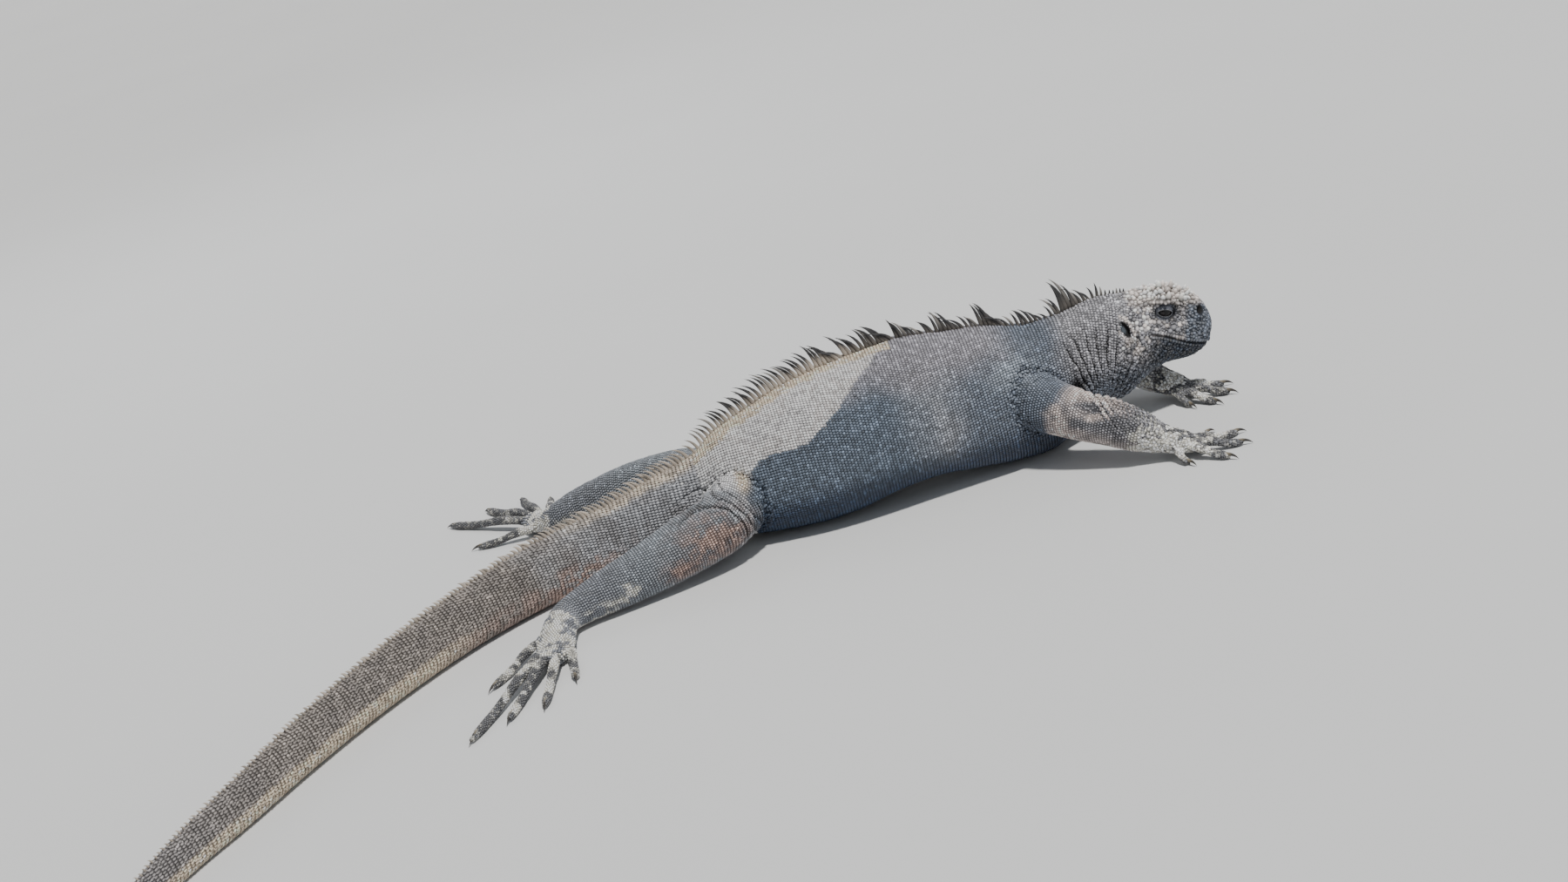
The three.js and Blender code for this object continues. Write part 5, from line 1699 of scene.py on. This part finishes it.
def make_lids(side_name, side):
    """Both lids of an eye as one closed ring, thick at the margin."""
    turns = np.arange(80) / 80
    shares = np.array([0.0, 0.03, 0.08, 0.16, 0.26, 0.37, 0.48, 0.59, 0.7, 0.8, 0.88, 0.95, 1.0])
    u, v, r = lid_grid(turns, shares)
    outer = head_point(u, v, side * r)
    inner = head_point(u, v, side * (r - 0.75))[::-1]
    grid = np.concatenate([outer, inner])
    stations, sides = grid.shape[:2]
    i, j = np.arange(stations)[:, None], np.arange(sides)[None, :]
    a, b = i * sides + j, i * sides + (j + 1) % sides
    c, d = ((i + 1) % stations) * sides + (j + 1) % sides, ((i + 1) % stations) * sides + j
    quads = np.stack([a, b, c, d], axis=-1).reshape(-1, 4)
    points = grid.reshape(-1, 3)
    test = quads[6 * sides]
    normal = np.cross(points[test[1]] - points[test[0]], points[test[2]] - points[test[0]])
    if normal @ (HEAD_RIGHT * side) < 0:
        quads = quads[:, ::-1]
    thing = new_mesh(f"eyelids_{side_name}", points, [quads])
    count = len(points)
    margin = (np.arange(count) < 3 * sides)[:, None]
    tint = mix(np.tile(linear(LID), (count, 1)), linear(LID_EDGE), margin * 1.0)
    give(thing, SCALE_LOOK, marking=tint, wet=np.full(count, 0.2), worn=np.full(count, 0.6))
    across = np.tile(np.arange(sides) / sides, stations)
    outwards = np.repeat(np.arange(stations) / stations, sides)
    bake_map(thing.data, np.stack([across, outwards], axis=1) * 0.96 + 0.02)
    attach(thing, "root")


def lid_roots(side):
    """Roots of the fine beads on the lids, in rings round the opening."""
    sets = []
    for share, pitch in ((0.07, 0.8), (0.25, 0.9), (0.43, 1.0), (0.61, 1.15), (0.79, 1.3), (0.95, 1.4)):
        line = lid_line(side, np.linspace(0, 1, 400, endpoint=False), share)
        steps = np.linalg.norm(np.diff(np.vstack([line, line[:1]]), axis=0), axis=1)
        walked = np.concatenate([[0], np.cumsum(steps)])
        count = int(walked[-1] / pitch)
        at = np.interp(np.arange(count) / count * walked[-1], walked, np.arange(401) / 400)
        spot = lid_line(side, at, share)
        onward, outward = lid_line(side, at + 0.002, share) - spot, lid_line(side, at, share + 0.01) - spot
        out = unit(np.cross(onward, outward))
        out *= np.sign(out @ (HEAD_RIGHT * side))[:, None]
        tint = np.tile(linear(LID_EDGE if share < 0.1 else LID), (count, 1))
        sets.append(
            {
                "point": spot,
                "out": out,
                "along": unit(outward),
                "size": np.full(count, pitch),
                "turn": at,
                "row": np.full(count, share),
                "colour": tint * rng.uniform(0.6, 1.4, (count, 1)),
                "wet": np.full(count, 0.1),
            }
        )
    return joined(*sets)


# Scales, region by region

def body_span(course, kind, low, high):
    """The first and last station index of one kind of station whose own coordinate is between two values."""
    inside = np.nonzero((course["kind"] == kind) & (course["local"] >= low) & (course["local"] <= high))[0]
    return float(inside[0]), float(inside[-1])


def unwrap_of(roots, low, high):
    """Roots' places on the unwrapped tube: own coordinate across, turn up."""
    return np.stack([(roots["local"] - low) / (high - low), roots["turn"]], axis=1)


def dress_trunk(ground, body):
    """Fine keeled scales in even rows across the trunk, the right side and the left side on their own."""
    first, last = body_span(body, TRUNK, VENT_X, SHOULDER_X)
    roots = ground.settle(ring_roots(body, TRUNK_ROW, TRUNK_STEP, first, last), 1.6)
    roots = coloured(roots, 0.2, 0.05)
    under = step(0.36, 0.44, from_back(roots["turn"]))
    *size, sunk = sizes(len(under), TRUNK_ROW * 0.98, TRUNK_STEP * 1.06, 0.7 - 0.25 * under)
    for side_name, half in (("right", roots["turn"] < 0.5), ("left", roots["turn"] >= 0.5)):
        part = picked(roots, half)
        unwrap = unwrap_of(part, VENT_X, SHOULDER_X)
        half_size = (*(value[half] for value in size), sunk)
        coat(f"trunk_scales_{side_name}", part, KEELED, half_size, SCALE_LOOK, unwrap)
    return roots


def dress_tail(ground, body):
    """Whorls of long keeled plates round the tail."""
    first, last = body_span(body, TAIL, 0, TAIL_LENGTH - 4)
    roots = ground.settle(ring_roots(body, WHORL, WHORL_STEP, first, last), 1.6)
    roots = coloured(roots, 0.16, 0.02)
    local = roots["local"]
    share = 1 - 0.35 * step(350, TAIL_LENGTH, local)
    long = 0.9 * (WHORL[0] + (WHORL[1] - WHORL[0]) * local / TAIL_LENGTH)
    high = (1.1 - 0.5 * step(0.3, 0.42, from_back(roots["turn"]))) * share
    size = sizes(len(local), long, WHORL_STEP * 1.04 * share, high)
    coat("tail_whorls", roots, WHORLED, size, SCALE_LOOK, unwrap_of(roots, 0, TAIL_LENGTH))
    return roots


def dress_neck(ground, body):
    """Small pebbles over the neck and its folds."""
    first, last = body_span(body, TRUNK, SHOULDER_X, NECK_END_X)
    roots = ground.settle(ring_roots(body, NECK_ROW, NECK_STEP, first, last), 3.6)
    roots["point"] = roots["point"] + rng.normal(0, 0.12, roots["point"].shape)
    roots = coloured(roots, 0.2, 0.08)
    size = sizes(len(roots["point"]), 1.95, 1.8, 0.6, spread=0.16)
    unwrap = unwrap_of(roots, SHOULDER_X - 12, NECK_END_X)
    coat("neck_scales", roots, PEBBLE, size, SCALE_LOOK, unwrap)
    return roots


def head_spacing(points):
    """Distance between scales over the head: bossed crown, plated cheeks, small on chin, lids and ear."""
    u, v, _ = head_place(points)
    spacing = np.full(len(points), 1.75)
    cheek = step(-8, -2, v) * (1 - step(9, 13, v)) * step(0, 5, u) * (1 - step(27, 34, u))
    spacing += 0.5 * cheek
    crown = step(14, 18, v) * step(-4, 4, u)
    spacing += crown * (0.7 + 0.7 * hill(u, 22, 12) - 0.7 * step(34, 46, u))
    spacing -= 0.25 * (1 - step(-22, -10, v))
    spacing -= 0.5 * hill(ellipse(u, v, EYE_SHAPE), 1.05, 0.35)
    spacing -= 0.5 * hill(ear_away(u, v), 1.2, 0.4)
    spacing -= 0.4 * hill(ellipse(u, v, NOSTRIL), 1.2, 0.5)
    return np.maximum(spacing, 1.1)


def row_on_head(places):
    """Roots at chosen u and v on both cheeks."""
    u, v = np.array(places, float).T
    width = cheek_width(u, v)
    points = np.concatenate([head_point(u, v, width), head_point(u, v, -width)])
    return {"point": points, "out": np.repeat([1.0, -1.0], len(u))[:, None] * HEAD_RIGHT}


def head_rows():
    """Places of the lip, brow and nostril scales."""
    lip_u = np.arange(14, MOUTH_LEVEL_U, 1.85)
    lip_u = np.append(lip_u, np.arange(MOUTH_LEVEL_U, MOUTH_FRONT_U, 1.45))
    upper = [(u, float(mouth_level(u)) + 1.6) for u in lip_u]
    lower = [(u, float(mouth_level(u)) - 1.5) for u in lip_u]
    brow = [(u, 18.3 - 0.012 * (u - 21) ** 2) for u in np.arange(12.5, 32.5, 2.1)]
    ring = np.arange(0, 2 * np.pi, 2 * np.pi / 13)
    nostril = [(NOSTRIL[0] + 3.2 * math.cos(a), NOSTRIL[1] + 3.8 * math.sin(a)) for a in ring]
    return upper, lower, brow, nostril


def forced_on_head():
    """Roots of the scales that have their own places: lips, brows and the rims of the nostrils."""
    upper, lower, brow, nostril = head_rows()
    rows = [(upper, 1.8, 0.5), (lower, 1.75, 0.45), (brow, 2.3, 0.8), (nostril, 1.6, 0.55)]
    forced = []
    for places, size, height in rows:
        made = row_on_head(places)
        made["size"] = np.full(len(made["point"]), size)
        made["tall"] = np.full(len(made["point"]), height)
        forced.append(made)
    return joined(*forced)


def head_only(points):
    """1 on the head, 0 elsewhere."""
    return (head_place(points)[0] > HEAD_END_U - 0.5).astype(float)


def loose_on_head(ground):
    """Random roots on the head, outside mouth, eyes, ears and nostrils: wide ones first, then smaller."""
    points, out = ground.scattered(HEAD_TRIES, head_only)
    u, v, r = head_place(points)
    in_mouth = (np.abs(v - mouth_level(u)) < 0.65) & (u > MOUTH_CORNER_U)
    hollow = (ellipse(u, v, EYE_SHAPE) < 1.0) | (ear_away(u, v) < 1.0) | (ellipse(u, v, NOSTRIL) < 1.05)
    free = ~(in_mouth | (hollow & (np.abs(r) > 5)))
    spacing = head_spacing(points[free])
    order = np.arange(len(spacing)) / len(spacing)
    spacing *= np.select([order < 0.25, order < 0.55], [rng.uniform(0.9, 1.2, len(spacing)), 0.62], 0.44)
    return {"point": points[free], "out": out[free], "size": spacing, "tall": 0.27 * spacing}


def dress_head(ground, finder):
    """The head's own scales: forced rows first, then plates and bosses thrown into the room that is left."""
    forced = forced_on_head()
    roots = joined(forced, loose_on_head(ground))
    roots = picked(roots, thrown(roots, roots["size"] * 0.88, first=len(forced["point"])))
    roots["point"], faces, _ = nearest_on(ground.tree, roots["point"])
    roots["out"] = ground.facing(faces)
    locate(roots, finder)
    roots["along"] = laid(roots["along"] + rng.normal(0, 0.5, roots["along"].shape), roots["out"])
    u, v, r = head_place(roots["point"])
    knobs = step(14.5, 18, v) * step(-4, 3, u) * (0.5 + 3.0 * hill(u, 26, 15))
    knobs = knobs * rng.uniform(0.3, 1.25, len(u)) * (1 - step(38, 48, u))
    roots["tall"] += knobs * step(1.2, 2.0, roots["size"])
    roots = coloured(roots, 0.3, 0.08)
    roots["unwrap"] = np.stack([(u - HEAD_END_U) / 60, np.arctan2(v - 2, r) / (2 * np.pi) + 0.5], axis=1)
    bossed = roots["tall"] > 1.1
    for name, chosen, shape in (("head_bosses", bossed, CONE), ("head_scales", ~bossed, PEBBLE)):
        part = picked(roots, chosen)
        wide = part["size"]
        size = sizes(len(wide), wide * 1.5, wide * 1.3, part["tall"], spread=0.12)
        coat(name, part, shape, size, SCALE_LOOK, np.clip(part["unwrap"], 0, 1))
    return roots


def dress_limbs(ground, courses, taken):
    """Pebbles in rings down each limb and plates down each digit, clear of the scales already there."""
    limb_sets, digit_sets = [], []
    for course in courses[1:]:
        digit = course["kind"][0] == DIGIT
        pitch = DIGIT_ROW if digit else LIMB_ROW
        last = len(course["length"]) - (1 if digit else 3)
        roots = ground.settle(ring_roots(course, pitch, pitch * 0.98, 0, last), 2.4)
        roots["size"] = np.full(len(roots["point"]), pitch)
        (digit_sets if digit else limb_sets).append(roots)
    limbs = clear_of(joined(*limb_sets), taken, LIMB_ROW * 0.8)
    digits = clear_of(joined(*digit_sets), limbs["point"], DIGIT_ROW * 0.75)
    kinds = (
        ("limb_scales", limbs, PEBBLE, 0.6, "skin_body"),
        ("digit_scales", digits, KEELED, 0.5, "skin_feet"),
    )
    for name, roots, shape, height, slot in kinds:
        roots = coloured(roots, 0.15, 0.05)
        count = len(roots["point"])
        size = sizes(count, roots["size"] * 1.08, roots["size"] * 0.98, height)
        unwrap = np.stack([np.arange(count) / count, roots["turn"]], axis=1)
        coat(name, roots, shape, size, SCALE_LOOK, unwrap)
    return limbs["point"], digits["point"]


def near_joints(points):
    """1 near the shoulders, hips, wrists and ankles, and on the neck; 0 elsewhere."""
    near = np.zeros(len(points))
    for rows, end in ((FORE_RIGHT, 5), (FORE_LEFT, 5), (HIND_RIGHT, 7), (HIND_LEFT, 7)):
        for i in (0, 1, end):
            near = np.maximum(near, np.linalg.norm(points - np.array(rows[i][:3]), axis=1) < 32)
    return np.maximum(near, points[:, 0] > SHOULDER_X)


def behind_head(points):
    """0 on the head, 0.5 behind it, and 1.5 near the joints and on the neck."""
    return (head_place(points)[0] < HEAD_END_U + 1) * (0.5 + near_joints(points))


def dress_gaps(ground, finder, taken):
    """Granules in the folds and hollows that the rows leave bare."""
    points, out = ground.scattered(GAP_TRIES, behind_head)
    roots = clear_of({"point": points, "out": out}, taken, 1.15)
    roots = picked(roots, thrown(roots, np.full(len(roots["point"]), 1.35)))
    locate(roots, finder)
    roots["along"] = laid(roots["along"], roots["out"])
    roots = coloured(roots, 0.15, 0.05)
    kind = roots["kind"]
    low, high = np.array(SPANS).T[:, kind]
    share = (roots["local"] - low) / (high - low)
    unwrap = np.stack([(kind + np.clip(share, 0, 1)) / len(SPANS), roots["turn"]], axis=1)
    coat("fold_granules", roots, PEBBLE, sizes(len(kind), 1.65, 1.55, 0.5), SCALE_LOOK, unwrap)


# The animal

courses, claw_places = all_courses(-COAT)
skin = make_skin(courses)
finder = place_finder(courses)
skin_points = mesh_points(skin.data)
skin_kind, skin_local, skin_turn, _ = found(finder, skin_points)
skin_colour, skin_wet = markings(skin_points, mesh_normals(skin.data), skin_kind, skin_local, skin_turn)
give(skin, SKIN_LOOK, marking=skin_colour, wet=skin_wet)
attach(skin, "root")
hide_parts(*FLESH)

ground = Ground(skin)
body = courses[0]
dressed = [dress(ground, body) for dress in (dress_trunk, dress_tail, dress_neck)]
dressed.append(dress_head(ground, finder))
taken = np.concatenate([one["point"] for one in dressed])
limb_points = dress_limbs(ground, courses, taken)
dress_gaps(ground, finder, np.concatenate([taken, *limb_points]))

for side_name, side in (("right", 1), ("left", -1)):
    make_eye(side_name, side)
    make_lids(side_name, side)
    beads = lid_roots(side)
    bead_size = sizes(len(beads["size"]), beads["size"] * 1.1, beads["size"], 0.22, sunk=0.25, spread=0.12)
    bead_unwrap = np.stack([beads["turn"], beads["row"]], axis=1)
    coat(f"lid_beads_{side_name}", beads, PEBBLE, bead_size, SCALE_LOOK, bead_unwrap)
make_crest()
make_claws(claw_places)

# Floor, lights and camera

CAMERA_ELEVATION = 19.0
CAMERA_ROLL = 17.0
CAMERA_DISTANCE = 1.5385
CAMERA_TARGET = np.array([62.59, 82.94, 50.0]) * MM
CAMERA_LENS = 60.0


def make_floor():
    """A wide flat floor with a rim that curves up far away."""
    radii = np.array([0.0001, 0.5, 1, 2, 4, 8, 12, 15, 17, 18])
    heights = np.array([0, 0, 0, 0, 0, 0, 0.3, 1.4, 3.2, 5.5])
    angle = np.arange(64) / 64 * 2 * np.pi
    level = np.tile(heights[:, None], (1, 64))
    grid = np.stack([radii[:, None] * np.cos(angle), radii[:, None] * np.sin(angle), level], axis=-1)
    quads, _ = tube_faces(*grid.shape[:2])
    thing = new_mesh("floor", grid.reshape(-1, 3) / MM - OFFSET, [quads], held=False)
    thing.data.materials.append(floor_material())


def add_light(name, place, size, watts, tint):
    """A soft square light that looks at the middle of the animal."""
    lamp = bpy.data.lights.new(name, "AREA")
    lamp.size = size
    lamp.energy = watts
    lamp.color = tint
    thing = bpy.data.objects.new(name, lamp)
    thing.location = place
    thing.rotation_euler = (Vector((0, 0, 0.04)) - Vector(place)).to_track_quat("-Z", "Y").to_euler()
    bpy.context.scene.collection.objects.link(thing)


def add_sun(towards, strength, softness, tint):
    """An even light from one side, with shadows as soft as its angle in degrees."""
    lamp = bpy.data.lights.new("key", "SUN")
    lamp.energy = strength
    lamp.angle = math.radians(softness)
    lamp.color = tint
    thing = bpy.data.objects.new("key", lamp)
    thing.rotation_euler = Vector(towards).to_track_quat("Z", "Y").to_euler()
    bpy.context.scene.collection.objects.link(thing)


def add_world(tint, strength):
    """An even pale light from all round."""
    world = bpy.data.worlds.new("studio")
    world.use_nodes = True
    background = world.node_tree.nodes["Background"]
    background.inputs["Color"].default_value = tint
    background.inputs["Strength"].default_value = strength
    bpy.context.scene.world = world


def add_camera():
    """The camera: above the near side, rolled so that the floor falls to the left."""
    tilt, roll = math.radians(CAMERA_ELEVATION), math.radians(CAMERA_ROLL)
    back = np.array([0, -math.cos(tilt), math.sin(tilt)])
    right = np.array([1.0, 0, 0])
    up = np.cross(right, -back)
    rolled_right = right * math.cos(roll) - up * math.sin(roll)
    rolled_up = up * math.cos(roll) + right * math.sin(roll)
    data = bpy.data.cameras.new("camera")
    data.lens = CAMERA_LENS
    data.sensor_width = 36.0
    data.clip_start, data.clip_end = 0.05, 100.0
    thing = bpy.data.objects.new("camera", data)
    turn = Matrix(np.stack([rolled_right, rolled_up, back], axis=1).tolist())
    thing.matrix_world = Matrix.Translation(Vector(CAMERA_TARGET + back * CAMERA_DISTANCE)) @ turn.to_4x4()
    bpy.context.scene.collection.objects.link(thing)
    bpy.context.scene.camera = thing


make_floor()
add_sun(towards=(0.22, -0.38, 1.0), strength=3.8, softness=5.0, tint=(1.0, 0.98, 0.94))
add_light("fill", place=(1.1, -1.3, 0.9), size=1.4, watts=4, tint=(0.86, 0.93, 1.0))
add_light("rim", place=(-0.4, 1.4, 1.1), size=1.0, watts=5, tint=(0.92, 0.96, 1.0))
add_world(tint=(0.78, 0.82, 0.88, 1.0), strength=0.3)
add_camera()
